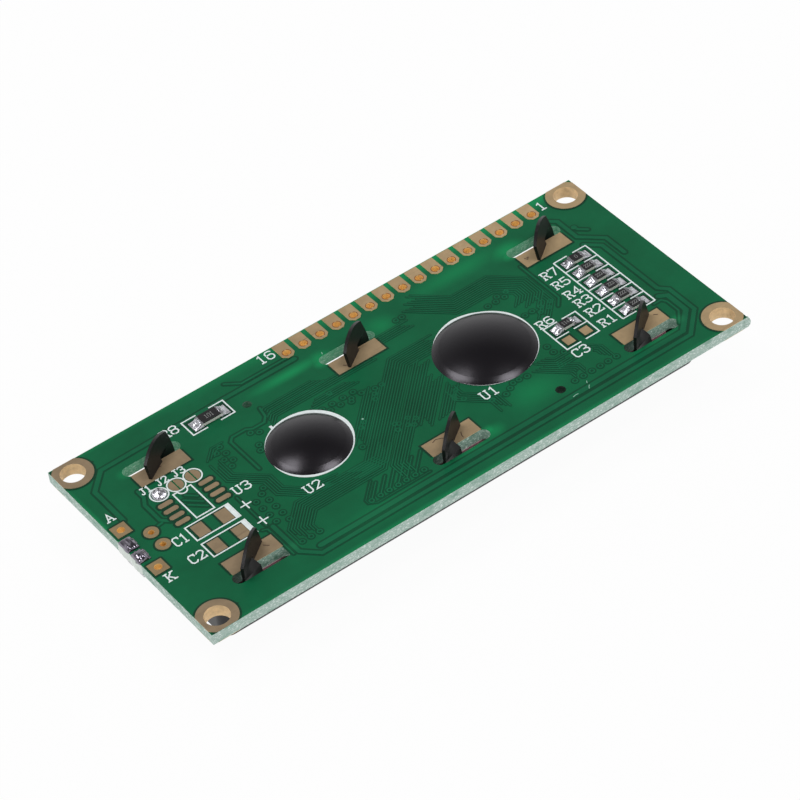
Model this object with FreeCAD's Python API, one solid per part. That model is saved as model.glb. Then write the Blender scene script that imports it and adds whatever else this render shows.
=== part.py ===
import FreeCAD, Part
import math
import os
from FreeCAD import Vector

# Character display module, lying face down on its bezel.
# Millimetres. X runs along the header row with pin 1 at +X, Y points to the
# header edge, Z points out of the back of the circuit board.
# The origin is at the centre of the board outline, on the bezel's front face.

# Circuit board
board_length = 79.4
board_width = 35.3
board_thickness = 1.6
plating = 0.05
barrel_wall = 0.1

# Mounting holes
mount_inset_x = 2.2
mount_inset_y = 2.15
mount_hole_radius = 1.6
mount_ring_radius = 2.6

# Header row
header_pins = 16
header_pitch = 2.54
header_mount_gap = 5.5
header_inset = 2.15
header_pad_width = 1.85
header_pad_chamfer = 0.52
header_hole_radius = 0.5
header_edge_gap = 0.1

# Bezel sheet
bezel_end_margin = 4.1
bezel_width = 24.1
bezel_height = 6.6
bezel_centre_y = -0.55
sheet = 0.4
bezel_corner_radius = 1.5
bezel_bend_radius = 0.7
window_end_margin = 3.35
window_width = 14.5
window_corner_radius = 0.5

# Twisted locking tabs of the bezel and their slots in the board
tabs_per_side = 3
tab_end_inset = 6.6
slot_length = 8.1
slot_width = 1.75
slot_shift = 0.1
tab_width = 6.4
neck_width = 3.0
neck_offset_upper = 1.85
neck_offset_lower = 1.55
tab_shoulder_height = 1.9
tab_height = 2.85
tab_end_height = 2.3
tab_peak_run = 3.0
neck_height = 0.8
neck_turn_in_slot = 18.0
head_turn_upper = 41.0
head_turn_upper_step = 3.0
head_turn_lower = 43.0
head_lean_upper = 9.0
head_lean_lower = -11.0
hook_relief = 0.25
landing_pad_length = 7.1
landing_pad_width = 2.5

# Display cell
cell_gap = 0.4
glass_thickness = 1.1
contact_ledge = 2.2
polariser_thickness = 0.2
polariser_margin = 0.75
zebra_width = 1.6
zebra_end_gap = 3.0

# Backlight
frame_wall = 1.0
frame_floor = 0.5
film_thickness = 0.1
film_gap = 0.1
ear_width = 9.0
ear_edge_gap = 1.7
ear_centre_y = -0.45
led_width = 2.8
led_depth = 1.2
led_height = 1.6
lead_pitch = 2.54
lead_width = 1.0
lead_sheet = 0.25
lead_edge_notch = 0.6
lead_notch_gap = 0.2
lead_top_reach = 1.0
lead_exit_drop = 1.2
solder_width = 2.0
solder_height = 0.75
solder_overhang = 0.2
solder_rounding = 0.45
solder_run_share = 0.8

# Square and round backlight pads at the left edge
square_pad = 2.05
square_pad_inset = 1.35
square_pad_pitch = 8.0
square_pad_hole_radius = 0.5
round_pad_radius = 0.95
round_pad_inset = 3.85
round_pad_hole_radius = 0.4

# Bare eight-pad footprint
footprint_inset = 10.6
footprint_y = 1.72
footprint_span = 5.8
footprint_pitch = 1.25
footprint_pad_length = 2.0
footprint_pad_width = 0.7

# Bare capacitor footprints
large_cap_inset = 10.2
large_cap_pad_length = 1.6
large_cap_pad_width = 2.2
large_cap_pad_span = 3.4
large_cap_upper_y = -2.7
large_cap_pitch = 3.5
small_cap_y = -6.2

# Solder jumpers above the footprint
jumper_count = 3
jumper_inset = 8.05
jumper_pitch = 2.4
jumper_y = 5.45
jumper_radius = 0.95
jumper_split = 0.2
jumper_solder_height = 0.55
jumper_solder_rim = 0.35
jumper_solder_contact = 60.0

# Chip resistors
small_chip_length = 2.0
small_chip_width = 1.25
large_chip_length = 3.2
large_chip_width = 1.6
chip_height = 0.5
chip_cap_length = 0.35
chip_cap_sheet = 0.05
chip_coat = 0.06
chip_land_reach = 0.95
chip_land_inside = 0.3
chip_land_overwidth = 0.1
chip_solder_rise = 0.8
chip_solder_sag_run = 0.36
chip_solder_sag_rise = 0.42
column_inset = 8.87
column_top_y = 4.85
column_pitch = 2.31
column_count = 6
single_chip_dome_gap = 3.2
single_chip_y = -3.9
large_chip_slot_gap = 9.2
large_chip_header_gap = 3.2

# Driver chips under epoxy domes
right_dome_x = 12.5
right_dome_y = -0.45
right_dome_radius = 6.6
right_dome_height = 1.5
left_dome_x = -13.3
left_dome_y = 0.45
left_dome_radius = 5.4
left_dome_height = 1.3
dome_rim_radius = 4.0
dome_contact = 35.0
die_length = 3.2
die_width = 2.4
die_height = 0.4

# Plain holes in the board
tooling_hole_x = 14.85
tooling_hole_y = -12.4
tooling_hole_radius = 0.65
second_hole_x = -15.0
second_hole_y = 11.2
second_hole_radius = 0.6

# Levels worked out from the sizes above
board_bottom = bezel_height
board_top = board_bottom + board_thickness
pad_top = board_top + plating
board_edge_x = board_length / 2
board_edge_y = board_width / 2
mount_x = board_edge_x - mount_inset_x
mount_y = board_edge_y - mount_inset_y
header_first_x = mount_x - header_mount_gap
header_y = board_edge_y - header_inset
bezel_length = board_length - 2 * bezel_end_margin
window_length = bezel_length - 2 * window_end_margin
bezel_inner_length = bezel_length - 2 * sheet
bezel_inner_width = bezel_width - 2 * sheet
wall_offset_y = (bezel_width - sheet) / 2
slot_offset_y = wall_offset_y - slot_shift
tab_pitch = (bezel_length / 2 - tab_end_inset) / ((tabs_per_side - 1) / 2)
cell_length = bezel_inner_length - 2 * cell_gap
cell_width = bezel_inner_width - 2 * cell_gap
rear_glass_width = cell_width - 2 * contact_ledge
front_polariser_z = sheet
front_glass_z = front_polariser_z + polariser_thickness
rear_glass_z = front_glass_z + glass_thickness
backlight_z = rear_glass_z + glass_thickness
frame_length = cell_length - 2 * cell_gap
frame_width = rear_glass_width
cavity_length = frame_length - 2 * frame_wall
cavity_width = frame_width - 2 * frame_wall
sheet_length = cavity_length - 2 * film_gap
sheet_width = cavity_width - 2 * film_gap
diffuser_z = backlight_z + polariser_thickness
guide_z = diffuser_z + film_thickness
reflector_z = board_bottom - frame_floor - film_thickness
guide_thickness = reflector_z - guide_z
ear_outer_x = -board_edge_x + ear_edge_gap
ear_length = -frame_length / 2 - ear_outer_x
ear_z = guide_z
ear_top = board_bottom - plating
lead_x = -board_edge_x + lead_edge_notch
square_pad_x = -board_edge_x + square_pad_inset
round_pad_x = -board_edge_x + round_pad_inset
footprint_x = -board_edge_x + footprint_inset
large_cap_x = -board_edge_x + large_cap_inset
jumper_first_x = -board_edge_x + jumper_inset
column_x = board_edge_x - column_inset
single_chip_x = right_dome_x + right_dome_radius + single_chip_dome_gap
large_chip_x = large_chip_slot_gap - tab_pitch
large_chip_y = header_y - large_chip_header_gap


def save(node, shapes):
    """Write one node: a solid, or a group of separate like solids."""
    if len(shapes) == 1:
        shape = shapes[0]
    else:
        shape = Part.makeCompound(shapes)
    shape.exportStep("parts/" + node + ".step")
    print(node, len(shape.Solids), shape.isValid(), round(shape.Volume, 3))


def centred_box(length, width, height, x, y, z):
    """A box centred on x and y, with its lower face at z."""
    return Part.makeBox(length, width, height, Vector(x - length / 2, y - width / 2, z))


def cylinder(radius, height, x, y, z):
    return Part.makeCylinder(radius, height, Vector(x, y, z))


def upright_edges(shape):
    """Edges of a shape that run straight along Z."""
    found = []
    for edge in shape.Edges:
        run = edge.Vertexes[-1].Point - edge.Vertexes[0].Point
        if abs(run.x) < 1e-6 and abs(run.y) < 1e-6 and abs(run.z) > 1e-6:
            found.append(edge)
    return found


def edges_at(shape, z):
    """Edges of a shape that lie wholly at one height."""
    return [e for e in shape.Edges if abs(e.BoundBox.ZMin - z) < 1e-6 and abs(e.BoundBox.ZMax - z) < 1e-6]


def rounded_box(length, width, height, radius, x, y, z):
    """A centred box with rounded upright corners."""
    box = centred_box(length, width, height, x, y, z)
    return box.makeFillet(radius, upright_edges(box))


def slot_prism(length, width, height, x, y, z):
    """A slot with round ends along X."""
    return rounded_box(length, width, height, 0.499 * width, x, y, z)


def extruded(points, direction):
    """A straight-sided outline pushed out along a direction."""
    wire = Part.makePolygon(points + [points[0]])
    return Part.Face(wire).extrude(direction)


def tab_places(side):
    """Slot centres along the header side (1) or the far side (-1)."""
    y = bezel_centre_y + side * slot_offset_y
    return [((index - (tabs_per_side - 1) / 2) * tab_pitch, y) for index in range(tabs_per_side)]


def mount_places():
    return [(sx * mount_x, sy * mount_y) for sx in (-1, 1) for sy in (-1, 1)]


def header_places():
    return [(header_first_x - index * header_pitch, header_y) for index in range(header_pins)]


def square_pad_places():
    return [(square_pad_x, ear_centre_y + side * square_pad_pitch / 2) for side in (-1, 1)]


def round_pad_places():
    return [(round_pad_x, ear_centre_y + side * lead_pitch / 2) for side in (-1, 1)]


def lead_places():
    return [ear_centre_y + side * lead_pitch / 2 for side in (-1, 1)]


def chip_places():
    """Name, centre and size of each chip resistor."""
    names = ("r7", "r5", "r4", "r3", "r2", "r1")
    places = []
    for index in range(column_count):
        y = column_top_y - index * column_pitch
        places.append((names[index], column_x, y, small_chip_length, small_chip_width))
    places.append(("r6", single_chip_x, single_chip_y, small_chip_length, small_chip_width))
    places.append(("r8", large_chip_x, large_chip_y, large_chip_length, large_chip_width))
    return places


def circuit_board():
    board = centred_box(board_length, board_width, board_thickness, 0, 0, board_bottom)
    cuts = []
    for x, y in mount_places():
        cuts.append(cylinder(mount_hole_radius + barrel_wall, board_thickness, x, y, board_bottom))
    for x, y in header_places():
        cuts.append(cylinder(header_hole_radius + barrel_wall, board_thickness, x, y, board_bottom))
    for x, y in square_pad_places():
        cuts.append(cylinder(square_pad_hole_radius + barrel_wall, board_thickness, x, y, board_bottom))
    for x, y in round_pad_places():
        cuts.append(cylinder(round_pad_hole_radius + barrel_wall, board_thickness, x, y, board_bottom))
    for x, y in tab_places(1) + tab_places(-1):
        cuts.append(slot_prism(slot_length, slot_width, board_thickness, x, y, board_bottom))
    notch_length = 2 * lead_edge_notch
    notch_width = lead_width + 2 * lead_notch_gap
    for y in lead_places():
        cuts.append(centred_box(notch_length, notch_width, board_thickness, -board_edge_x, y, board_bottom))
    cuts.append(cylinder(tooling_hole_radius, board_thickness, tooling_hole_x, tooling_hole_y, board_bottom))
    cuts.append(cylinder(second_hole_radius, board_thickness, second_hole_x, second_hole_y, board_bottom))
    return board.cut(cuts)


def plated(land, x, y, radius):
    """A plated hole: the land on both faces of the board and the barrel between them."""
    lower = land.copy()
    lower.translate(Vector(0, 0, board_bottom - plating - land.BoundBox.ZMin))
    barrel = cylinder(radius + barrel_wall, board_thickness, x, y, board_bottom)
    hole = cylinder(radius, board_thickness + 2 * plating, x, y, board_bottom - plating)
    return land.fuse([lower, barrel]).cut(hole).removeSplitter()


def mounting_hole_rings():
    outline = centred_box(board_length, board_width, plating, 0, 0, board_top)
    rings = []
    for x, y in mount_places():
        land = cylinder(mount_ring_radius, plating, x, y, board_top).common(outline)
        rings.append(plated(land, x, y, mount_hole_radius))
    return rings


def header_pads():
    """Pads with a chamfered inner end, running to the edge of the board."""
    pads = []
    half = header_pad_width / 2
    reach = board_edge_y - header_edge_gap - header_y
    for x, y in header_places():
        corners = [
            (half, reach),
            (-half, reach),
            (-half, header_pad_chamfer - half),
            (header_pad_chamfer - half, -half),
            (half - header_pad_chamfer, -half),
            (half, header_pad_chamfer - half),
        ]
        outline = [Vector(x + px, y + py, board_top) for px, py in corners]
        land = extruded(outline, Vector(0, 0, plating))
        pads.append(plated(land, x, y, header_hole_radius))
    return pads


def backlight_pads():
    pads = []
    for x, y in square_pad_places():
        land = centred_box(square_pad, square_pad, plating, x, y, board_top)
        pads.append(plated(land, x, y, square_pad_hole_radius))
    for x, y in round_pad_places():
        land = cylinder(round_pad_radius, plating, x, y, board_top)
        pads.append(plated(land, x, y, round_pad_hole_radius))
    return pads


def tab_landing_pads():
    """A bare land beside each slot, on the side towards the middle of the board."""
    pads = []
    for side in (1, -1):
        for x, y in tab_places(side):
            pad_y = y - side * (slot_width / 2 + landing_pad_width / 2)
            pads.append(centred_box(landing_pad_length, landing_pad_width, plating, x, pad_y, board_top))
    return pads


def controller_pads():
    pads = []
    for side in (-1, 1):
        for index in range(4):
            y = footprint_y + (1.5 - index) * footprint_pitch
            x = footprint_x + side * footprint_span / 2
            pads.append(slot_prism(footprint_pad_length, footprint_pad_width, plating, x, y, board_top))
    return pads


def chip_land_length():
    return chip_land_reach + chip_land_inside


def capacitor_pads():
    pads = []
    for row in range(2):
        y = large_cap_upper_y - row * large_cap_pitch
        for side in (-1, 1):
            x = large_cap_x + side * large_cap_pad_span / 2
            pads.append(centred_box(large_cap_pad_length, large_cap_pad_width, plating, x, y, board_top))
    for side in (-1, 1):
        x = single_chip_x + side * (small_chip_length / 2 + (chip_land_reach - chip_land_inside) / 2)
        width = small_chip_width + chip_land_overwidth
        pads.append(centred_box(chip_land_length(), width, plating, x, small_cap_y, board_top))
    return pads


def jumper_pads():
    """Round lands, each split by a narrow gap."""
    pads = []
    gap = 2 * jumper_radius + 1.0
    for index in range(jumper_count):
        x = jumper_first_x + index * jumper_pitch
        disc = cylinder(jumper_radius, plating, x, jumper_y, board_top)
        split = disc.cut(centred_box(jumper_split, gap, plating, x, jumper_y, board_top))
        pads.extend(split.Solids)
    return pads


def dome(radius, height, rim_radius, contact_angle, x, y, z):
    """A cap of poured epoxy or solder: a steeper rounded rim that runs into a flatter crown."""
    contact = math.radians(contact_angle)
    rim = Vector(radius, 0, 0)
    rim_centre = rim - Vector(math.sin(contact), 0, math.cos(contact)) * rim_radius
    rise = height - rim_centre.z
    crown_radius = (rim_centre.x ** 2 + rise ** 2 - rim_radius ** 2) / (2 * (rise - rim_radius))
    crown = Vector(0, 0, height)
    crown_centre = crown - Vector(0, 0, crown_radius)
    join_turn = math.atan2(rim_centre.x, rim_centre.z - crown_centre.z)
    join = crown_centre + Vector(math.sin(join_turn), 0, math.cos(join_turn)) * crown_radius
    rim_turn = (contact + join_turn) / 2
    rim_middle = rim_centre + Vector(math.sin(rim_turn), 0, math.cos(rim_turn)) * rim_radius
    crown_turn = join_turn / 2
    crown_middle = crown_centre + Vector(math.sin(crown_turn), 0, math.cos(crown_turn)) * crown_radius
    profile = Part.Wire([
        Part.Arc(rim, rim_middle, join).toShape(),
        Part.Arc(join, crown_middle, crown).toShape(),
        Part.makeLine(crown, Vector(0, 0, 0)),
        Part.makeLine(Vector(0, 0, 0), rim),
    ])
    solid = Part.Face(profile).revolve(Vector(0, 0, 0), Vector(0, 0, 1), 360)
    solid.translate(Vector(x, y, z))
    return solid


def chip_body(x, y, length, width):
    """The ceramic block between the two end caps."""
    body_length = length - 2 * chip_cap_sheet
    body_height = chip_height - 2 * chip_cap_sheet
    return centred_box(body_length, width, body_height, x, y, pad_top + chip_cap_sheet)


def chip_end_caps(x, y, length, width):
    """Tinned caps folded over both ends of the ceramic block."""
    caps = []
    for side in (-1, 1):
        cap_x = x + side * (length - chip_cap_length) / 2
        block = centred_box(chip_cap_length, width, chip_height, cap_x, y, pad_top)
        caps.append(block.cut(chip_body(x, y, length, width)))
    return caps


def chip_cover(x, y, length, width):
    """The dark glaze over the resistive film, between the caps."""
    cover_length = length - 2 * chip_cap_length
    z = pad_top + chip_height - chip_cap_sheet
    return centred_box(cover_length, width, chip_cap_sheet + chip_coat, x, y, z)


def chip_lands(x, y, length, width):
    lands = []
    for side in (-1, 1):
        land_x = x + side * (length / 2 + (chip_land_reach - chip_land_inside) / 2)
        lands.append(centred_box(chip_land_length(), width + chip_land_overwidth, plating, land_x, y, board_top))
    return lands


def chip_solder(x, y, length, width):
    """A hollow fillet of solder from each land up the end of the chip."""
    joints = []
    rise = chip_solder_rise * chip_height
    for side in (-1, 1):
        face = x + side * length / 2
        toe = Vector(face + side * chip_land_reach, y - width / 2, pad_top)
        foot = Vector(face, y - width / 2, pad_top)
        top = Vector(face, y - width / 2, pad_top + rise)
        sag_x = face + side * chip_solder_sag_run * chip_land_reach
        sag = Vector(sag_x, y - width / 2, pad_top + chip_solder_sag_rise * rise)
        slope = Part.Arc(top, sag, toe).toShape()
        outline = Part.Wire([slope, Part.makeLine(toe, foot), Part.makeLine(foot, top)])
        joints.append(Part.Face(outline).extrude(Vector(0, width, 0)))
    return joints


def turned(run, turn, shift, z):
    """A point at a run from the neck's axis along a turned line, shifted square to that line."""
    angle = math.radians(turn)
    x = run * math.cos(angle) - shift * math.sin(angle)
    y = run * math.sin(angle) + shift * math.cos(angle)
    return Vector(x, y, z)


def strip_corners(near, far):
    """Corners of a level cut through the sheet between two points: two at the far end, two at the near."""
    along = (near - far).normalize()
    side = Vector(-along.y, along.x, 0) * (sheet / 2)
    return [far - side, far + side, near + side, near - side]


def closed_outline(corners):
    return Part.makePolygon(corners + [corners[0]])


def neck_corners(z, turn):
    return strip_corners(turned(neck_width / 2, turn, 0, z), turned(-neck_width / 2, turn, 0, z))


def head_corners(z, near_turn, far_turn, lean):
    """Level cut through the tab's head. Its near end stands over the neck, its far end is the hook."""
    shift = z * math.tan(math.radians(lean))
    near = turned(neck_width / 2, near_turn, shift, z)
    far = turned(neck_width / 2 - tab_width, far_turn, shift, z)
    return strip_corners(near, far)


def tab_elevation():
    """Side outline of the head: an arch over the neck, and the hook's level underside on its land."""
    reach = tab_width + 2 * sheet
    hook_start = neck_width + hook_relief
    foot = Vector(-2 * sheet, 0, neck_height)
    shoulder = Vector(0, 0, tab_shoulder_height)
    outer_shoulder = Vector(-2 * sheet, 0, tab_shoulder_height - 2 * sheet)
    tip = Vector(tab_width, 0, tab_end_height)
    outer_tip = Vector(reach, 0, tab_end_height - 2 * sheet)
    edges = [
        Part.makeLine(foot, outer_shoulder),
        Part.makeLine(outer_shoulder, shoulder),
        Part.Arc(shoulder, Vector(tab_peak_run, 0, tab_height), tip).toShape(),
        Part.makeLine(tip, outer_tip),
        Part.makeLine(outer_tip, Vector(reach, 0, plating)),
        Part.makeLine(Vector(reach, 0, plating), Vector(hook_start, 0, plating)),
        Part.makeLine(Vector(hook_start, 0, plating), Vector(hook_start, 0, neck_height)),
        Part.makeLine(Vector(hook_start, 0, neck_height), foot),
    ]
    face = Part.Face(Part.Wire(edges))
    face.translate(Vector(-neck_width / 2, -tab_width, 0))
    return face.extrude(Vector(0, 2 * tab_width, 0))


def locking_tab(neck_offset, head_turn, lean):
    """One tab about its slot's centre at the board's upper face, as on the header side.

    The neck stands in the slot and the head above it is twisted, so that the hook lies over the board."""
    low = head_corners(plating, neck_turn_in_slot, head_turn, lean)
    high = head_corners(tab_height, head_turn, head_turn, lean)
    head = Part.makeLoft([closed_outline(low), closed_outline(high)], True, True)
    elevation = tab_elevation()
    elevation.rotate(Vector(0, 0, 0), Vector(0, 0, 1), 180.0 + head_turn)
    head = head.common(elevation)

    share = (neck_height - plating) / (tab_height - plating)
    join = [a + (b - a) * share for a, b in zip(low, high)]
    neck_share = neck_width / tab_width
    join[0] = join[3] + (join[0] - join[3]) * neck_share
    join[1] = join[2] + (join[1] - join[2]) * neck_share
    sections = [neck_corners(-board_thickness, 0.0), neck_corners(0.0, neck_turn_in_slot), join]
    neck = Part.makeLoft([closed_outline(c) for c in sections], True, True)
    stem = centred_box(neck_width, sheet, sheet, 0, 0, -board_thickness - sheet)
    tab = neck.fuse([stem, head])
    tab.translate(Vector(neck_offset, slot_shift, 0))
    return tab


def bezel():
    """Stamped sheet cover: front frame, four walls and six bent tabs in one piece."""
    outer = rounded_box(bezel_length, bezel_width, bezel_height, bezel_corner_radius, 0, bezel_centre_y, 0)
    outer = outer.makeFillet(bezel_bend_radius, edges_at(outer, 0))
    inner_height = bezel_height - sheet
    inner_radius = bezel_corner_radius - sheet
    inner = rounded_box(
        bezel_inner_length, bezel_inner_width, inner_height, inner_radius, 0, bezel_centre_y, sheet
    )
    inner = inner.makeFillet(bezel_bend_radius - sheet, edges_at(inner, sheet))
    window = rounded_box(window_length, window_width, sheet, window_corner_radius, 0, bezel_centre_y, 0)
    gap_width = ear_width + 2 * cell_gap
    gap_low = ear_z - cell_gap
    gap_height = board_bottom - ear_z + cell_gap
    ear_gap = centred_box(4 * sheet, gap_width, gap_height, -bezel_length / 2, ear_centre_y, gap_low)
    shell = outer.cut([inner, window, ear_gap])
    tabs = []
    for index, (x, y) in enumerate(tab_places(1)):
        turn = head_turn_upper + (index - (tabs_per_side - 1) / 2) * head_turn_upper_step
        tab = locking_tab(neck_offset_upper, turn, head_lean_upper)
        tab.translate(Vector(x, y, board_top))
        tabs.append(tab)
    for x, y in tab_places(-1):
        tab = locking_tab(neck_offset_lower, head_turn_lower, head_lean_lower)
        tab.rotate(Vector(0, 0, 0), Vector(0, 0, 1), 180.0)
        tab.translate(Vector(x, y, board_top))
        tabs.append(tab)
    return shell.fuse(tabs).removeSplitter()


def front_glass():
    return centred_box(cell_length, cell_width, glass_thickness, 0, bezel_centre_y, front_glass_z)


def rear_glass():
    return centred_box(cell_length, rear_glass_width, glass_thickness, 0, bezel_centre_y, rear_glass_z)


def front_polariser():
    length = window_length + 2 * polariser_margin
    width = window_width + 2 * polariser_margin
    return centred_box(length, width, polariser_thickness, 0, bezel_centre_y, front_polariser_z)


def rear_polariser():
    return centred_box(sheet_length, sheet_width, polariser_thickness, 0, bezel_centre_y, backlight_z)


def zebra_strip(side):
    """Elastomer connector between the glass ledge and the board."""
    ledge_middle = (cell_width - contact_ledge) / 2
    length = cell_length - 2 * zebra_end_gap
    height = board_bottom - rear_glass_z
    y = bezel_centre_y + side * ledge_middle
    return centred_box(length, zebra_width, height, 0, y, rear_glass_z)


def lead(y):
    """Folded strip: out of the ear, up the board's edge notch and over its upper face."""
    outer_x = lead_x - lead_sheet
    low = board_bottom - lead_exit_drop
    high = board_top + lead_sheet
    inside_x = ear_outer_x + lead_top_reach
    points = [
        (inside_x, low),
        (outer_x, low),
        (outer_x, high),
        (lead_x + lead_top_reach, high),
        (lead_x + lead_top_reach, board_top),
        (lead_x, board_top),
        (lead_x, low + lead_sheet),
        (inside_x, low + lead_sheet),
    ]
    outline = [Vector(px, y - lead_width / 2, pz) for px, pz in points]
    return extruded(outline, Vector(0, lead_width, 0))


def led_places():
    return [ear_centre_y + side * ear_width / 4 for side in (-1, 1)]


def led(y):
    """One side-firing lamp, against the end of the light guide."""
    x = -sheet_length / 2 - led_depth / 2
    z = guide_z + (guide_thickness - led_height) / 2
    return centred_box(led_depth, led_width, led_height, x, y, z)


def backlight_frame():
    """White moulded tray for the light guide, with the lamp ear at its left end."""
    height = board_bottom - backlight_z
    tray = centred_box(frame_length, frame_width, height, 0, bezel_centre_y, backlight_z)
    ear_x = ear_outer_x + ear_length / 2
    ear = centred_box(ear_length, ear_width, ear_top - ear_z, ear_x, ear_centre_y, ear_z)
    depth = height - frame_floor
    cavity = centred_box(cavity_length, cavity_width, depth, 0, bezel_centre_y, backlight_z)
    cuts = [cavity] + [led(y) for y in led_places()] + [lead(y) for y in lead_places()]
    return tray.fuse(ear).cut(cuts).removeSplitter()


def light_guide():
    return centred_box(sheet_length, sheet_width, guide_thickness, 0, bezel_centre_y, guide_z)


def film(z):
    return centred_box(sheet_length, sheet_width, film_thickness, 0, bezel_centre_y, z)


def lead_solder(y, board, terminal):
    """Solder heaped on the folded lead and run down over the board's edge."""
    outer_x = -board_edge_x - solder_overhang
    inner_x = lead_x + lead_top_reach + lead_sheet
    length = inner_x - outer_x
    heap = centred_box(length, solder_width, solder_height, (inner_x + outer_x) / 2, y, board_top)
    rounded = edges_at(heap, board_top + solder_height) + upright_edges(heap)
    heap = heap.makeFillet(solder_rounding * solder_height, rounded)
    run_length = lead_edge_notch + solder_overhang
    run_drop = board_thickness + plating + lead_sheet
    run_x = outer_x + run_length / 2
    run_width = solder_width * solder_run_share
    run = centred_box(run_length, run_width, run_drop, run_x, y, board_top - run_drop)
    run = run.makeFillet(solder_rounding * solder_overhang, upright_edges(run))
    return heap.fuse(run).cut([board, terminal]).removeSplitter()


def main():
    os.makedirs("parts", exist_ok=True)
    board = circuit_board()
    terminals = [lead(y) for y in lead_places()]
    save("circuit_board", [board])
    save("mounting_hole_rings", mounting_hole_rings())
    save("header_pads", header_pads())
    save("tab_landing_pads", tab_landing_pads())
    save("backlight_pads", backlight_pads())
    save("controller_pads", controller_pads())
    save("capacitor_pads", capacitor_pads())
    save("jumper_pads", jumper_pads())
    drop = dome(
        jumper_radius, jumper_solder_height, jumper_solder_rim, jumper_solder_contact,
        jumper_first_x, jumper_y, pad_top,
    )
    save("jumper_solder", [drop])

    caps = []
    covers = []
    lands = []
    joints = []
    for name, x, y, length, width in chip_places():
        save("resistor_" + name, [chip_body(x, y, length, width)])
        caps.extend(chip_end_caps(x, y, length, width))
        covers.append(chip_cover(x, y, length, width))
        lands.extend(chip_lands(x, y, length, width))
        joints.extend(chip_solder(x, y, length, width))
    save("resistor_end_caps", caps)
    save("resistor_covers", covers)
    save("resistor_lands", lands)
    save("resistor_solder", joints)

    for name, x, y, radius, height in (
        ("u1", right_dome_x, right_dome_y, right_dome_radius, right_dome_height),
        ("u2", left_dome_x, left_dome_y, left_dome_radius, left_dome_height),
    ):
        die = centred_box(die_length, die_width, die_height, x, y, board_top)
        save("driver_die_" + name, [die])
        epoxy = dome(radius, height, dome_rim_radius, dome_contact, x, y, board_top)
        save("epoxy_dome_" + name, [epoxy.cut(die)])

    save("bezel", [bezel()])
    save("front_polariser", [front_polariser()])
    save("front_glass", [front_glass()])
    save("rear_glass", [rear_glass()])
    save("rear_polariser", [rear_polariser()])
    save("zebra_strip_upper", [zebra_strip(1)])
    save("zebra_strip_lower", [zebra_strip(-1)])
    save("backlight_frame", [backlight_frame()])
    save("light_guide", [light_guide()])
    save("diffuser_film", [film(diffuser_z)])
    save("reflector_film", [film(reflector_z)])
    save("backlight_leds", [led(y) for y in led_places()])
    save("backlight_terminals", terminals)
    save("backlight_solder", [lead_solder(y, board, t) for y, t in zip(lead_places(), terminals)])


main()
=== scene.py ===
import math
import bmesh
import bpy
from mathutils import Matrix, Vector, noise


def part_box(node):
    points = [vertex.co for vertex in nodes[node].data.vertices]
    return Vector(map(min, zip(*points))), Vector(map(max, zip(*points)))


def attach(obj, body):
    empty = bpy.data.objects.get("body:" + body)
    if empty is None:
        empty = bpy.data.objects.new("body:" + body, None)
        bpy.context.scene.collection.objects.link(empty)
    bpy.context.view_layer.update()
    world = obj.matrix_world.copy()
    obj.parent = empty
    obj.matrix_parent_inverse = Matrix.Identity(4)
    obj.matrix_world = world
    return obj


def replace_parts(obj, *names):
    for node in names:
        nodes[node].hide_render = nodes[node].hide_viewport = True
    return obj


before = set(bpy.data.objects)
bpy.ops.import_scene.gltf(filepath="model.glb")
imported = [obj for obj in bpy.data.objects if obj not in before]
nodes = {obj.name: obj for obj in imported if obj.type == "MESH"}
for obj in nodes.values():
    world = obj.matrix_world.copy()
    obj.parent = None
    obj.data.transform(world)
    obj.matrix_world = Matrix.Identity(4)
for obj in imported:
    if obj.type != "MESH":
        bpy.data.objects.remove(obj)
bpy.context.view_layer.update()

# Lengths are in metres. MM turns millimetres into metres.
MM = 0.001

# Levels on the board, and how far each layer stands above it
BOARD_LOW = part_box("circuit_board")[0].z
BOARD_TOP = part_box("circuit_board")[1].z
BOARD_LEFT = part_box("circuit_board")[0].x
PAD_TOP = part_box("header_pads")[1].z
SINK = 0.01 * MM
GAP_RISE = 0.006 * MM
MARK_RISE = 0.006 * MM
CODE_RISE = 0.01 * MM
COPPER_RISE = 0.022 * MM
CLEAR_RISE = 0.03 * MM
INK_RISE = 0.04 * MM
STACK_STEP = 0.00003 * MM

# Line widths
INK_LINE = 0.18 * MM
CODE_LINE = 0.055 * MM
RING_LINE = 0.5 * MM
CLEARANCE = 0.26 * MM
TRACK = 0.15 * MM
TRACK_PITCH = 0.34 * MM
STAGGER = 0.45 * MM
SCUFF_LINE = 0.09 * MM
SCRAPE_LINE = 0.11 * MM


def srgb(red, green, blue):
    """A colour as the eye names it, 0 to 255, turned into the renderer's own scale."""
    def channel(value):
        value = value / 255
        return value / 12.92 if value <= 0.04045 else ((value + 0.055) / 1.055) ** 2.4
    return (channel(red), channel(green), channel(blue), 1)


# Pieces

def link_new(name, data):
    """A new object in the scene."""
    thing = bpy.data.objects.new(name, data)
    bpy.context.scene.collection.objects.link(thing)
    return thing


def place(name, mesh, material, smooth=False):
    """Makes a mesh into a piece that stands still on the fixed body."""
    if smooth:
        for polygon in mesh.polygons:
            polygon.use_smooth = True
    mesh.materials.append(material)
    piece = link_new(name, mesh)
    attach(piece, "root")
    return piece


class Shapes:
    """Gathers points and faces, and turns them into one piece."""

    smooth = False

    def __init__(self):
        self.points = []
        self.faces = []

    def make(self, name, material, slot):
        mesh = bpy.data.meshes.new(name)
        mesh.from_pydata(self.points, [], self.faces)
        mesh.validate()
        mesh.update()
        return place(name, mesh, material, self.smooth)


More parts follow.
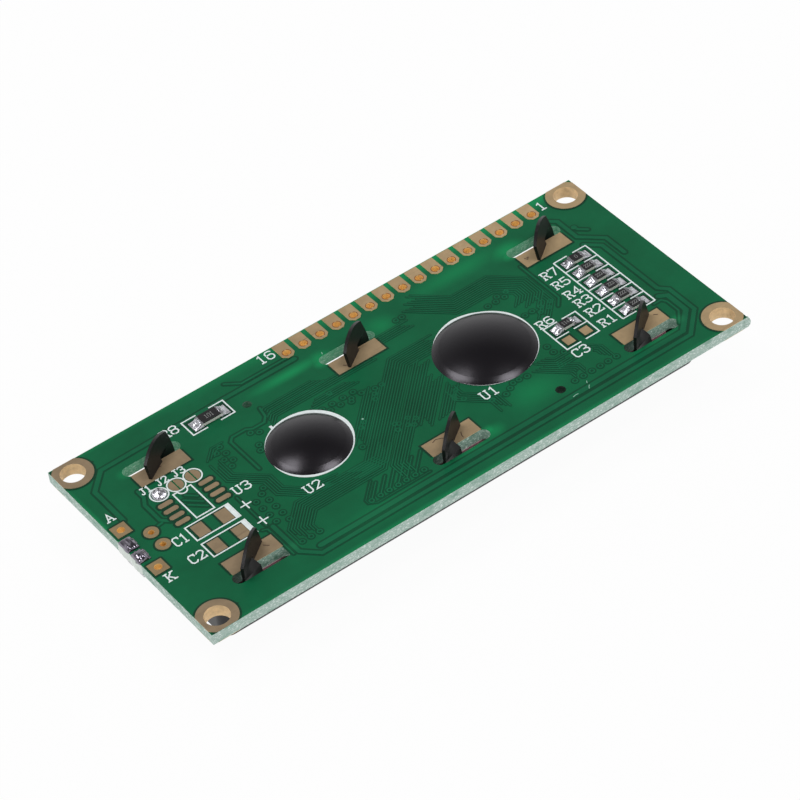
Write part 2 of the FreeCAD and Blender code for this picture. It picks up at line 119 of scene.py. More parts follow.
class FlatShapes(Shapes):
    """Thin closed prisms and bands that stand between two levels: ink, copper lines and outlines."""

    def __init__(self, level, rise):
        super().__init__()
        self.low = level - SINK
        self.high = level + rise

    def climb(self):
        """Lifts the next shape a hair, so that no two upper faces share one plane."""
        self.high += STACK_STEP

    def prism(self, outline):
        """An outline given anticlockwise, seen from above."""
        self.climb()
        count = len(outline)
        start = len(self.points)
        for level in (self.low, self.high):
            self.points += [(x, y, level) for x, y in outline]
        self.faces.append([start + index for index in reversed(range(count))])
        self.faces.append([start + count + index for index in range(count)])
        for index in range(count):
            here, after = start + index, start + (index + 1) % count
            self.faces.append([here, after, after + count, here + count])

    def box(self, left, right, low_y, high_y):
        self.prism(in_metres([(left, low_y), (right, low_y), (right, high_y), (left, high_y)]))

    def strip(self, line, width, closed=False, taper=False):
        """A band along a line of points, with mitred corners. Its width is one number or a list."""
        self.climb()
        path = [Vector((x, y)) for x, y in line]
        widths = width if isinstance(width, list) else [width] * len(path)
        if taper:
            path, widths = rounded_ends(path, width)
        count = len(path)
        start = len(self.points)
        for index, (here, wide) in enumerate(zip(path, widths)):
            before = path[index - 1] if closed or index > 0 else None
            after = path[(index + 1) % count] if closed or index < count - 1 else None
            side = mitre(before, here, after) * (wide / 2)
            for spot, level in ((here + side, self.low), (here - side, self.low),
                                (here - side, self.high), (here + side, self.high)):
                self.points.append((spot.x, spot.y, level))
        for index in range(count if closed else count - 1):
            a, b = start + 4 * index, start + 4 * ((index + 1) % count)
            for corner in range(4):
                after = (corner + 1) % 4
                self.faces.append([a + corner, a + after, b + after, b + corner])
        if not closed:
            end = start + 4 * (count - 1)
            self.faces.append([start + corner for corner in (3, 2, 1, 0)])
            self.faces.append([end + corner for corner in range(4)])

    def ring(self, x, y, radius, width, steps=40):
        circle = [arc_point(x, y, radius, 360 * index / steps) for index in range(steps)]
        self.strip(circle, width, closed=True)

    def disc(self, x, y, radius, steps=20):
        self.prism([arc_point(x, y, radius, 360 * index / steps) for index in range(steps)])


def in_metres(points):
    return [(x * MM, y * MM) for x, y in points]


def arc_point(x, y, radius, turn):
    angle = math.radians(turn)
    return (x + radius * math.cos(angle), y + radius * math.sin(angle))


def arc(x, y, radius, start, end, steps):
    return [arc_point(x, y, radius, start + (end - start) * index / steps) for index in range(steps + 1)]


def mitre(before, here, after):
    """Sideways unit step at a corner, lengthened so that the band keeps its width."""
    into = (here - before).normalized() if before is not None else (after - here).normalized()
    out = (after - here).normalized() if after is not None else into
    side_in = Vector((-into.y, into.x))
    middle = side_in + Vector((-out.y, out.x))
    if middle.length < 0.3:
        return side_in
    middle.normalize()
    return middle / max(0.4, middle.dot(side_in))


def rounded_ends(path, width):
    """Adds a short narrower step at both ends, so that a stroke ends round."""
    first = (path[0] - path[1]).normalized() * width
    final = (path[-1] - path[-2]).normalized() * width
    start = [path[0] + first * 0.5, path[0] + first * 0.3]
    end = [path[-1] + final * 0.3, path[-1] + final * 0.5]
    widths = [0.35 * width, 0.8 * width] + [width] * len(path) + [0.8 * width, 0.35 * width]
    return start + path + end, widths


# Shader helpers. A value given to a node is a plain value or another node's output.

def connect(tree, socket, value):
    if isinstance(value, bpy.types.NodeSocket):
        tree.links.new(value, socket)
    else:
        socket.default_value = value


def fill(tree, node, **values):
    """Gives a node's inputs by name, with _ for a space."""
    for name, value in values.items():
        connect(tree, node.inputs[name.replace("_", " ")], value)


def add(tree, kind, **values):
    """Adds a shader node, with its own properties and its inputs given by name."""
    node = tree.nodes.new("ShaderNode" + kind)
    for name, value in values.items():
        if name in node.bl_rna.properties:
            setattr(node, name, value)
        else:
            fill(tree, node, **{name: value})
    return node


def new_group(name, inputs, outputs):
    """A node group, its inputs given with their first values. An output called Color is a colour."""
    group = bpy.data.node_groups.new(name, "ShaderNodeTree")
    for label, value in inputs.items():
        kind = {3: "Vector", 4: "Color"}[len(value)] if isinstance(value, tuple) else "Float"
        socket = group.interface.new_socket(name=label, in_out="INPUT", socket_type="NodeSocket" + kind)
        socket.default_value = value
    for label in outputs:
        kind = "Color" if label == "Color" else "Float"
        group.interface.new_socket(name=label, in_out="OUTPUT", socket_type="NodeSocket" + kind)
    return group, group.nodes.new("NodeGroupInput").outputs, group.nodes.new("NodeGroupOutput")


def use(tree, group, **values):
    """Adds a node group and gives its outputs."""
    node = tree.nodes.new("ShaderNodeGroup")
    node.node_tree = group
    fill(tree, node, **values)
    return node.outputs


def math_node(operation, *values):
    """Works in the tree of the first value that is a socket."""
    tree = next(value.id_data for value in values if isinstance(value, bpy.types.NodeSocket))
    node = add(tree, "Math", operation=operation)
    for socket, value in zip(node.inputs, values):
        connect(tree, socket, value)
    return node.outputs[0]


def times(first, second):
    return math_node("MULTIPLY", first, second)


def plus(first, second):
    return math_node("ADD", first, second)


def minus(first, second):
    return math_node("SUBTRACT", first, second)


def size_of(value):
    return math_node("ABSOLUTE", value)


def is_below(value, limit):
    return math_node("LESS_THAN", value, limit)


def is_above(value, limit):
    return math_node("GREATER_THAN", value, limit)


def ramp(value, start, end, low=0, high=1, **settings):
    """Runs from low to high while the value runs from start to end."""
    node = add(
        value.id_data, "MapRange", Value=value,
        From_Min=start, From_Max=end, To_Min=low, To_Max=high, **settings)
    return node.outputs["Result"]


def tinted(factor, first, second):
    """Mixes two colours."""
    blend = add(factor.id_data, "Mix", data_type="RGBA", Factor=factor, A=first, B=second)
    return blend.outputs["Result"]


def speckle(spot, **values):
    """Soft uneven noise, from 0 to 1."""
    return add(spot.id_data, "TexNoise", Vector=spot, **values).outputs["Fac"]


def object_spot(tree):
    return add(tree, "TexCoord").outputs["Object"]


def axes(vector):
    """A vector's X, Y and Z."""
    return add(vector.id_data, "SeparateXYZ", Vector=vector).outputs


# Effects that several materials share

def build_mottle():
    """A colour that drifts softly between a darker and a lighter shade."""
    group, given, result = new_group(
        "soft_mottle", {"Color": (0.5, 0.5, 0.5, 1), "Scale": 300, "Spread": 0.1}, ["Color", "Mask"])
    drift = speckle(object_spot(group), Scale=given["Scale"], Detail=4, Roughness=0.6)
    change = times(minus(drift, 0.5), given["Spread"])
    light = plus(times(change, 4), 1)
    shade = add(group, "HueSaturation", Color=given["Color"], Value=light)
    fill(group, result, Color=shade.outputs["Color"], Mask=drift)
    return group


def build_grain():
    """Height of a fine uneven surface: a broad swell with a fine tooth on it."""
    group, given, result = new_group(
        "fine_grain", {"Swell Scale": 400, "Tooth Scale": 4000, "Tooth": 0.3}, ["Height"])
    spot = object_spot(group)
    broad = speckle(spot, Scale=given["Swell Scale"], Detail=2)
    fine = speckle(spot, Scale=given["Tooth Scale"], Detail=3)
    fill(group, result, Height=plus(broad, times(fine, given["Tooth"])))
    return group


def build_scratches():
    """Mask of sparse fine scratches that run in slightly wavering lines."""
    group, given, result = new_group("fine_scratches", {"Scale": 900, "Amount": 0.5}, ["Mask"])
    turned = add(
        group, "Mapping", Vector=object_spot(group),
        Rotation=(0, 0, math.radians(32)), Scale=(0.06, 1, 1))
    lines = speckle(turned.outputs["Vector"], Scale=given["Scale"], Detail=2, Distortion=0.4)
    fill(group, result, Mask=times(ramp(lines, 0.66, 0.74), given["Amount"]))
    return group


def build_weave():
    """Speckle of glass cloth seen end on: short pale and dark flecks that lie along the sheet."""
    group, given, result = new_group(
        "glass_cloth_edge",
        {"Base": (0.6, 0.7, 0.65, 1), "Pale": (0.8, 0.85, 0.82, 1), "Dark": (0.4, 0.5, 0.45, 1)},
        ["Color", "Height"])
    stretch = add(group, "Mapping", Vector=object_spot(group), Scale=(0.6, 0.6, 1.3))
    fleck = speckle(stretch.outputs["Vector"], Scale=4800, Detail=3)
    patch = speckle(stretch.outputs["Vector"], Scale=900, Detail=2)
    flecked = tinted(ramp(fleck, 0.5, 0.68), given["Base"], given["Pale"])
    patched = tinted(ramp(patch, 0.5, 0.75), flecked, given["Dark"])
    fill(group, result, Color=patched, Height=fleck)
    return group


def build_spot():
    """Soft mask about one place, with its own reach along each axis."""
    group, given, result = new_group(
        "soft_spot", {"Place": (0, 0, 0), "Reach": (1, 1, 1), "Strength": 1}, ["Mask"])
    away = object_spot(group)
    for operation, label in (("SUBTRACT", "Place"), ("DIVIDE", "Reach")):
        step = add(group, "VectorMath", operation=operation)
        connect(group, step.inputs[0], away)
        connect(group, step.inputs[1], given[label])
        away = step.outputs["Vector"]
    length = add(group, "VectorMath", operation="LENGTH", Vector=away).outputs["Value"]
    fade = ramp(length, 0, 1, 1, 0, interpolation_type="SMOOTHSTEP")
    fill(group, result, Mask=times(fade, given["Strength"]))
    return group


mottle = build_mottle()
grain = build_grain()
scratches = build_scratches()
weave = build_weave()
soft_spot = build_spot()

# Where light shines through the bare laminate: place, reach along x, reach along y and strength
GLOWS = [
    (-3.6, 11.9, 2.2, 1.8, 1), (25.6, 12.2, 3.4, 2.2, 1), (-8, 12.2, 7.5, 1.3, 1),
    (18.5, 13.3, 10, 2.2, 0.6), (12.5, -10.4, 5.5, 3.4, 0.5), (4.4, -12.6, 2.4, 1.6, 0.7),
    (28.8, -13.5, 5.5, 0.9, 0.5), (0.6, -13.5, 4.5, 0.7, 0.5), (-39.7, 5, 0.7, 14, 0.7),
    (5.4, 11.6, 3, 2.6, 0.6), (0, -17.7, 60, 0.9, 0.8), (31.3, 16.4, 0.6, 2.5, 0.6),
    (-24.5, -12.3, 1.2, 1.2, 0.5), (-21.8, 11.9, 1.6, 1.3, 0.4), (31.2, -12, 1.6, 1.2, 0.8),
    (2, -12, 1.6, 1.2, 0.8), (-14, -14.6, 9, 2.4, 0.35), (22, 15.5, 5, 1.6, 0.4),
    (25, 11.2, 1.5, 1.3, 1), (-4, 11.2, 1.5, 1.3, 1), (-33, 11.2, 1.3, 1.2, 0.5),
    (33.3, -12.2, 1.2, 1.2, 0.8), (4.3, -12.2, 1.2, 1.2, 1), (32, 17.9, 75, 2.8, 1.2),
    (0, 17.9, 100, 1.2, 0.6),
]

# Where the slots' walls lie in the shade of the tabs, in the same form
SHADES = [
    (14.85, -12.4, 4, 4, 1), (-15, 11.2, 4, 4, 0.75), (-33.1, -12.2, 3.4, 3, 1),
    (-4.1, -12.2, 3.4, 3, 1), (24.9, -12.2, 3.4, 3, 1),
]
SPOT_DEPTH = 5 * MM


def build_spot_set(name, spots):
    """Several soft spots in one mask."""
    group, given, result = new_group(name, {}, ["Mask"])
    total = 0
    for x, y, reach_x, reach_y, strength in spots:
        mask = use(
            group, soft_spot, Place=(x * MM, y * MM, BOARD_TOP),
            Reach=(reach_x * MM, reach_y * MM, SPOT_DEPTH), Strength=strength)["Mask"]
        total = math_node("MAXIMUM", total, mask)
    fill(group, result, Mask=total)
    return group


laminate_glow = build_spot_set("laminate_glow", GLOWS)
shaded_walls = build_spot_set("shaded_walls", SHADES)


# Materials

def new_material(name, **values):
    """A material with one Principled shader."""
    material = bpy.data.materials.new(name)
    material.use_nodes = True
    shader = material.node_tree.nodes["Principled BSDF"]
    fill(material.node_tree, shader, **values)
    return material, material.node_tree, shader


def mottled(tree, color, scale, spread):
    """A tone that drifts softly."""
    return use(tree, mottle, Color=color, Scale=scale, Spread=spread)["Color"]


def bumped(tree, shader, height, strength, depth):
    bump = add(tree, "Bump", Height=height, Strength=strength, Distance=depth)
    fill(tree, shader, Normal=bump.outputs["Normal"])


def grained(tree, shader, broad_scale, fine_scale, tooth, strength, depth):
    """Feeds the shader's normal from the fine grain."""
    height = use(tree, grain, Swell_Scale=broad_scale, Tooth_Scale=fine_scale, Tooth=tooth)["Height"]
    bumped(tree, shader, height, strength, depth)


MASK_GREEN = srgb(6, 100, 62)
MASK_GLOW = srgb(12, 142, 84)
GAP_GREEN = srgb(6, 72, 46)
TRACK_GREEN = srgb(12, 102, 66)
CLOTH = {"Base": srgb(178, 202, 191), "Pale": srgb(236, 248, 242), "Dark": srgb(140, 176, 160)}
# Painted light and shade on the walls inside the board: paler and greener in its upper half as painted light
# coming through, darker in its lower half as painted shade
LIT_SLOT_CLOTH = {"Base": srgb(116, 180, 146), "Pale": srgb(180, 214, 194), "Dark": srgb(84, 152, 116)}
SHADED_WALL_CLOTH = {"Base": srgb(130, 158, 144), "Pale": srgb(206, 222, 212), "Dark": srgb(74, 110, 92)}
SLOT_SHADE = srgb(24, 30, 26)
BLACK = (0, 0, 0, 1)

# Walls nearer to the middle than this belong to slots and holes, and the others to the board's edges
SLOTS_TO_X = 39.5 * MM
SLOTS_TO_Y = 17.5 * MM


def level_mask(tree):
    """One on level faces, zero on upright walls."""
    normal = add(tree, "NewGeometry").outputs["True Normal"]
    return is_above(size_of(axes(normal)["Z"]), 0.5)


def green_mask(tree, shader, color, glow_color):
    """Green mask, paler where light shines through the laminate."""
    grained(tree, shader, 260, 2600, 0.25, 0.35, 0.02 * MM)
    glow = use(tree, laminate_glow)["Mask"]
    return tinted(glow, mottled(tree, color, 160, 0.16), glow_color)


def cut_edge_material():
    """Bare glass cloth."""
    material, tree, shader = new_material("cut_glass_cloth", Roughness=0.8)
    edge = use(tree, weave, **CLOTH)
    fill(tree, shader, Base_Color=edge["Color"])
    bumped(tree, shader, edge["Height"], 0.6, 0.03 * MM)
    return material


def board_material():
    """Green mask on both faces, pale glass cloth on every cut edge, and painted light and shade on the walls
    inside the board: paler and greener in its upper half, darker elsewhere, with a painted glow.
    """
    material, tree, shader = new_material("green_mask_board", Specular_IOR_Level=0.2, Emission_Strength=0.2)
    spot = axes(object_spot(tree))
    inner_x = is_below(size_of(spot["X"]), SLOTS_TO_X)
    inner_y = is_below(size_of(spot["Y"]), SLOTS_TO_Y)
    inner = times(inner_x, inner_y)
    upper = times(inner, is_above(spot["Y"], 0))
    # Painted light and shade: inner walls darker than the cut edges, and paler and greener in the board's
    # upper half
    wall = tinted(inner, use(tree, weave, **CLOTH)["Color"], use(tree, weave, **SHADED_WALL_CLOTH)["Color"])
    wall = tinted(upper, wall, use(tree, weave, **LIT_SLOT_CLOTH)["Color"])
    wall = tinted(use(tree, shaded_walls)["Mask"], wall, SLOT_SHADE)
    face = level_mask(tree)
    # Painted glow: the walls inside the board give off light of their own wall colour, though they are no
    # lamp
    shining = times(inner, minus(1, face))
    fill(
        tree, shader,
        Base_Color=tinted(face, wall, green_mask(tree, shader, MASK_GREEN, MASK_GLOW)),
        Emission_Color=tinted(shining, BLACK, wall),
        Roughness=minus(0.8, times(face, 0.38)),
    )
    return material


def mask_material(name, color, glow_color):
    """Green mask over bare laminate or over copper."""
    material, tree, shader = new_material(name, Roughness=0.42, Specular_IOR_Level=0.2)
    fill(tree, shader, Base_Color=green_mask(tree, shader, color, glow_color))
    return material


# Length over which the gold's painted light falloff goes from its darker left tone to its lighter right one
GOLD_SPAN = 80 * MM


def gold_material(name, shaded_left_color, lit_right_color, lit_hole_color):
    """Worn gold plating with painted light: darker towards the left end and lighter towards the right, and a
    brighter tone of its own on the plated holes' walls.
    """
    material, tree, shader = new_material(name, Metallic=0.35)
    # Painted light: the tone runs from darker at the left end to lighter at the right, as the light falls
    along = math_node("DIVIDE", axes(object_spot(tree))["X"], GOLD_SPAN)
    color = tinted(plus(along, 0.5), shaded_left_color, lit_right_color)
    tone = use(tree, mottle, Color=color, Scale=700, Spread=0.12)
    marks = use(tree, scratches, Scale=2400, Amount=0.35)["Mask"]
    worn = tinted(marks, tone["Color"], srgb(120, 98, 76))
    # Painted light: the plated holes' walls get a brighter tone of their own, standing in for light bounced
    # about inside the holes
    hole = mottled(tree, lit_hole_color, 1500, 0.2)
    fill(
        tree, shader,
        Base_Color=tinted(level_mask(tree), hole, worn),
        Roughness=ramp(tone["Mask"], 0, 1, 0.42, 0.62),
    )
    grained(tree, shader, 1500, 6000, 0.5, 0.5, 0.02 * MM)
    return material


def terminal_solder_material():
    """Wrinkled solder, with painted shade on the terminals' tops and painted light where it has run down the
    cut edge.
    """
    material, tree, shader = new_material("crinkled_solder", Metallic=1, Roughness=0.12)
    shaded_top = is_above(axes(object_spot(tree))["Z"], BOARD_TOP)
    # Painted shade on the tops and painted light on the run down the cut edge, for one and the same solder
    color = tinted(shaded_top, srgb(204, 212, 206), srgb(134, 129, 140))
    fill(tree, shader, Base_Color=mottled(tree, color, 900, 0.14))
    grained(tree, shader, 700, 5000, 0.2, 0.8, 0.02 * MM)
    return material


def surface(name, color, scale, spread, grain_values, **values):
    """A material of one tone that drifts softly, with a fine grain."""
    material, tree, shader = new_material(name, **values)
    fill(tree, shader, Base_Color=mottled(tree, srgb(*color), scale, spread))
    grained(tree, shader, *grain_values)
    return material


def metal(name, color, roughness, grain_scale, depth):
    """Bare metal. The depth of its grain is in millimetres, as for the plain surfaces."""
    grain_values = (grain_scale, 5000, 0.2, 0.8, depth * MM)
    return surface(name, color, 900, 0.14, grain_values, Metallic=1, Roughness=roughness)


def plain(name, color, roughness, scale, spread, grain_scale, depth, **values):
    """Plastic, paint, ceramic and the like."""
    grain_values = (grain_scale, grain_scale * 8, 0.4, 0.5, depth * MM)
    return surface(name, color, scale, spread, grain_values, Roughness=roughness, **values)


# Character cells of the display: first edge, pitch, width and count, along x and along y, in millimetres
CELLS_ALONG = (-28.12, 3.55, 3, 16)
CELLS_UP = (-6.2, 5.9, 5.45, 2)
DOTS_ALONG = (-28.12, 0.61, 0.56, 200)
DOTS_UP = (-6.2, 0.69, 0.63, 40)


def comb(value, first, pitch, width, count):
    """One on each of a row of even bands, zero between and beyond them."""
    step = math_node("DIVIDE", minus(value, first * MM), pitch * MM)
    band = is_below(math_node("FRACT", step), width / pitch)
    return times(band, times(is_above(step, 0), is_below(step, count)))


def build_cells():
    """Two lines of sixteen character cells, each of small dots."""
    group, given, result = new_group("character_cells", {}, ["Mask"])
    spot = axes(object_spot(group))
    cells = times(comb(spot["X"], *CELLS_ALONG), comb(spot["Y"], *CELLS_UP))
    dots = times(comb(spot["X"], *DOTS_ALONG), comb(spot["Y"], *DOTS_UP))
    fill(group, result, Mask=times(cells, plus(times(dots, 0.5), 0.5)))
    return group


def polariser_material():
    """Blue film through which the idle character cells show faintly."""
    material, tree, shader = new_material("blue_polariser", Roughness=0.12)
    cells = use(tree, build_cells())["Mask"]
    blue = tinted(cells, mottled(tree, srgb(30, 54, 150), 60, 0.03), srgb(52, 84, 182))
    fill(tree, shader, Base_Color=blue)
    return material


def glass_material():
    material, tree, shader = new_material("display_glass", Roughness=0.04, IOR=1.5, Transmission_Weight=1)
    fill(tree, shader, Base_Color=mottled(tree, srgb(225, 238, 232), 60, 0.02))
    return material


cut_edge = cut_edge_material()
gap_green = mask_material("green_mask_gap", GAP_GREEN, srgb(16, 108, 66))
clearance_green = mask_material("green_mask_round_pads", srgb(14, 62, 42), srgb(16, 96, 60))
trace_green = mask_material("green_mask_copper", TRACK_GREEN, srgb(30, 126, 80))
ink = surface("white_ink", (240, 250, 249), 1800, 0.1, (900, 5000, 0.6, 0.5, 0.02 * MM), Roughness=0.6)
scuff = plain("pale_scuff", (150, 196, 176), 0.6, 2500, 0.1, 3000, 0.005)
scrape = plain("dark_scrape", (84, 62, 44), 0.6, 2500, 0.2, 3000, 0.005)
# Painted shade at the left and right rims of the header holes
header_hole_shade = plain("header_hole_shade", (140, 78, 26), 0.6, 2500, 0.2, 3000, 0.005)
code_ink = plain("pale_code_ink", (150, 152, 150), 0.6, 2500, 0.1, 3000, 0.005)
solder = metal("bright_solder", (200, 200, 206), 0.25, 1400, 0.1)
terminal_solder = terminal_solder_material()

# The finish of each solid of the source
FINISHES = [
    (board_material(), ["circuit_board"]),
    (gold_material("worn_gold", srgb(152, 132, 104), srgb(190, 164, 123), srgb(232, 204, 158)),
     ["mounting_hole_rings", "tab_landing_pads", "controller_pads", "capacitor_pads", "jumper_pads",
      "resistor_lands"]),
    (gold_material("gold_with_painted_lit_holes", srgb(156, 134, 98), srgb(204, 176, 134), srgb(255, 222, 150)),
     ["header_pads", "backlight_pads"]),
    (solder, ["jumper_solder", "resistor_solder", "backlight_solder"]),
    (metal("tinned_cap", (190, 190, 194), 0.3, 2500, 0.03), ["backlight_terminals", "resistor_end_caps"]),
    (plain("white_ceramic", (226, 226, 218), 0.55, 1500, 0.06, 2000, 0.01),
     ["resistor_r" + str(number) for number in range(1, 9)]),
    (plain("black_glaze", (34, 33, 35), 0.3, 1800, 0.12, 1500, 0.01), ["resistor_covers"]),
    (plain("black_epoxy", (14, 12, 16), 0.24, 200, 0.1, 160, 0.03, Specular_Tint=(0.96, 0.93, 1, 1)),
     ["epoxy_dome_u1", "epoxy_dome_u2"]),
    (plain("silicon", (120, 122, 132), 0.2, 900, 0.05, 1200, 0.005), ["driver_die_u1", "driver_die_u2"]),
    (plain("satin_black_paint", (19, 18, 18), 0.4, 900, 0.14, 900, 0.02, Specular_IOR_Level=0.38),
     ["bezel"]),
    (polariser_material(), ["front_polariser", "rear_polariser"]),
    (glass_material(), ["front_glass", "rear_glass"]),
    (plain("pink_rubber", (216, 160, 172), 0.6, 1200, 0.1, 1500, 0.02),
     ["zebra_strip_upper", "zebra_strip_lower"]),
    (plain("white_plastic", (232, 232, 226), 0.5, 500, 0.05, 900, 0.01), ["backlight_frame"]),
    (plain("clear_acrylic", (226, 230, 232), 0.12, 200, 0.03, 500, 0.003), ["light_guide"]),
    (plain("white_film", (238, 238, 236), 0.5, 300, 0.03, 400, 0.003), ["diffuser_film", "reflector_film"]),
    (plain("lamp_lens", (240, 232, 170), 0.25, 600, 0.08, 900, 0.005), ["backlight_leds"]),
]

for finish, names in FINISHES:
    for name in names:
        for holder in nodes[name].material_slots:
            holder.material = finish


# Lettering of the board's own part names, as single pen strokes on a grid four wide and six high

GLYPHS = {
    "0": [[(1, 0), (0, 1), (0, 5), (1, 6), (3, 6), (4, 5), (4, 1), (3, 0), (1, 0)]],
    "1": [[(0.8, 5.2), (2, 6), (2, 0)], [(0.8, 0), (3.2, 0)]],
    "2": [[(0, 5), (1, 6), (3, 6), (4, 5), (4, 4), (0, 0), (4, 0), (4, 0.8)]],
    "3": [[(0, 5.2), (0.8, 6), (3, 6), (4, 5), (4, 4.2), (3, 3.2), (1.6, 3.2)],
          [(3, 3.2), (4, 2.2), (4, 1), (3, 0), (1, 0), (0, 0.8)]],
    "4": [[(3, 0), (3, 6), (0, 2), (4, 2)], [(2, 0), (4, 0)]],
    "5": [[(3.6, 6), (0.4, 6), (0.2, 3.4), (3, 3.6), (4, 2.6), (4, 1), (3, 0), (1, 0), (0, 0.8)]],
    "6": [[(3.8, 5.4), (3, 6), (1, 6), (0, 5), (0, 1), (1, 0), (3, 0), (4, 1), (4, 2.5),
           (3, 3.5), (0.2, 3.3)]],
    "7": [[(0, 5.2), (0, 6), (4, 6), (1.6, 0)]],
    "8": [
        [(1, 0), (0, 1), (0, 2.3), (1, 3.2), (3, 3.2), (4, 2.3), (4, 1), (3, 0), (1, 0)],
        [(1, 3.2), (0, 4), (0, 5), (1, 6), (3, 6), (4, 5), (4, 4), (3, 3.2)],
    ],
    "A": [[(0.4, 0), (2, 6), (3.6, 0)], [(1.1, 2), (2.9, 2)], [(-0.3, 0), (1.1, 0)], [(2.9, 0), (4.3, 0)]],
    "C": [[(4, 4.9), (3, 6), (1, 6), (0, 5), (0, 1), (1, 0), (3, 0), (4, 1)], [(4, 6), (4, 4.6)]],
    "J": [[(2.6, 6), (2.6, 1), (1.8, 0), (0.8, 0), (0.2, 1)], [(1.2, 6), (4, 6)]],
    "K": [[(0.7, 0), (0.7, 6)], [(3.6, 6), (0.7, 2.4)], [(1.5, 3.4), (3.6, 0)], [(0, 0), (1.4, 0)],
          [(0, 6), (1.4, 6)], [(2.9, 0), (4.3, 0)], [(2.9, 6), (4.3, 6)]],
    "R": [[(0.6, 0), (0.6, 6), (3, 6), (4, 5.2), (4, 4.2), (3, 3.2), (0.6, 3.2)], [(2.2, 3.2), (3.8, 0)],
          [(-0.1, 0), (1.3, 0)], [(-0.1, 6), (1, 6)], [(3.3, 0), (4.4, 0)]],
    "U": [[(0.4, 6), (0.4, 1), (1.2, 0), (2.8, 0), (3.6, 1), (3.6, 6)], [(-0.3, 6), (1.1, 6)],
          [(2.9, 6), (4.3, 6)]],
}

# Width of a letter as a share of the step to the next one
LETTER_SHARE = 0.72


def write(shapes, word, left, low, width, height, pen):
    """Writes a short word into the box that starts at left and low."""
    step = width / (len(word) - 1 + LETTER_SHARE)
    for index, letter in enumerate(word):
        for stroke in GLYPHS[letter]:
            points = [
                (left + index * step + x / 4 * step * LETTER_SHARE, low + y / 6 * height)
                for x, y in stroke
            ]
            shapes.strip(points, pen, taper=True)


# Name, left, low, width and height of each word, in millimetres
PART_NAMES = [
    ("R8", -26, 12.85, 2.3, 1.45), ("J1", -33.2, 6.65, 1.4, 1.1), ("J2", -30.9, 6.65, 1.5, 1.1),
    ("J3", -28.6, 6.65, 1.6, 1.1), ("U3", -24.75, -0.85, 2.3, 1.4), ("U2", -18.3, -6.45, 2.3, 1.4),
    ("U1", 6.95, -7.75, 2.3, 1.45), ("C1", -34.85, -3.25, 1.85, 1.5), ("C2", -35.05, -6.85, 2.1, 1.45),
    ("A", -38.85, 5.55, 1.05, 1.35), ("K", -38.75, -7.35, 1.2, 1.35), ("16", -9.7, 15.85, 2.3, 1.5),
    ("1", 33.35, 15.25, 1.1, 1.5), ("R7", 25.55, 4.35, 2.3, 1.4), ("R5", 25.55, 2, 2.3, 1.4),
    ("R4", 25.55, -0.35, 2.3, 1.4), ("R3", 25.55, -2.4, 2.3, 1.4), ("R2", 25.55, -4.65, 2.3, 1.4),
    ("R1", 25.55, -7.25, 2.3, 1.4), ("R6", 19.6, -2.35, 2.3, 1.35), ("C3", 19.8, -9.35, 2.2, 1.45),
]

# Start, width and height of the pen strokes, as shares of a word's box
TEXT_START, TEXT_WIDTH, TEXT_HEIGHT = 0.03, 0.94, 0.96

# Plus signs beside the large capacitors, and the reach of their arms
PLUS_SIGNS = [(-24.85, -2.9), (-24.8, -6.4)]
PLUS_ARM = 0.7


def print_part_names(shapes):
    for word, *box in PART_NAMES:
        left, low, width, height = (value * MM for value in box)
        write(
            shapes, word, left + TEXT_START * width, low,
            TEXT_WIDTH * width, TEXT_HEIGHT * height, INK_LINE)
    for x, y in PLUS_SIGNS:
        for dx, dy in ((PLUS_ARM, 0), (0, PLUS_ARM)):
            shapes.strip(in_metres([(x - dx, y - dy), (x + dx, y + dy)]), INK_LINE, taper=True)


def line(shapes, points, closed=False):
    shapes.strip(in_metres(points), INK_LINE, closed=closed)


def outline_with_gaps(shapes, left, right, low, high, gap_left, gap_right):
    """A component's box whose upper and lower sides are broken in the middle."""
    for start, end in ((left, gap_left), (right, gap_right)):
        line(shapes, [(end, high), (start, high), (start, low), (end, low)])


def print_outlines(shapes):
    """White outlines of the footprints, as on the real board."""
    outline_with_gaps(shapes, -22.9, -16.85, 11.1, 13.85, -20.8, -18.9)
    column_lines = [6.2, 3.8, 1.5, -0.8, -3.1, -5.4, -7.65]
    for y in column_lines:
        line(shapes, [(28.3, y), (30.4, y)])
        line(shapes, [(31.3, y), (33.35, y)])
    for x in (28.3, 33.35):
        line(shapes, [(x, column_lines[0]), (x, column_lines[-1])])
    outline_with_gaps(shapes, 19.8, 24.8, -5, -2.6, 21.95, 22.7)
    outline_with_gaps(shapes, 19.8, 24.8, -7.4, -5, 21.95, 22.7)
    for low, high in ((-4, -1.3), (-7.5, -4.8)):
        line(shapes, [(-32.5, low), (-26.35, low), (-26.35, high), (-32.5, high)], closed=True)
        shapes.box(-26.95, -26.35, low, high)
    notch = arc(-29.15, 4.3, 0.65, 180, 360, 10)
    line(shapes, [(-27.9, 4.3), (-27.9, -0.8), (-30.45, -0.8), (-30.45, 4.3)] + notch, closed=True)
    for x in (-31.65, -29.2, -26.85):
        shapes.ring(x * MM, 5.45 * MM, 1.14 * MM, INK_LINE)


# Width of the printed rings that the epoxy leaves bare, in millimetres, every 30 degrees from the right
BARE_U1 = [0.1, 0.26, 0.14, 0.32, 0.04, -0.2, -0.25, -0.06, -0.02, -0.08, -0.05, 0.05]
BARE_U2 = [0.4, 0.44, 0.42, 0.22, 0.08, -0.06, -0.08, 0.2, 0.3, 0.16, 0.06, 0.12]
DOME_STEPS = 96


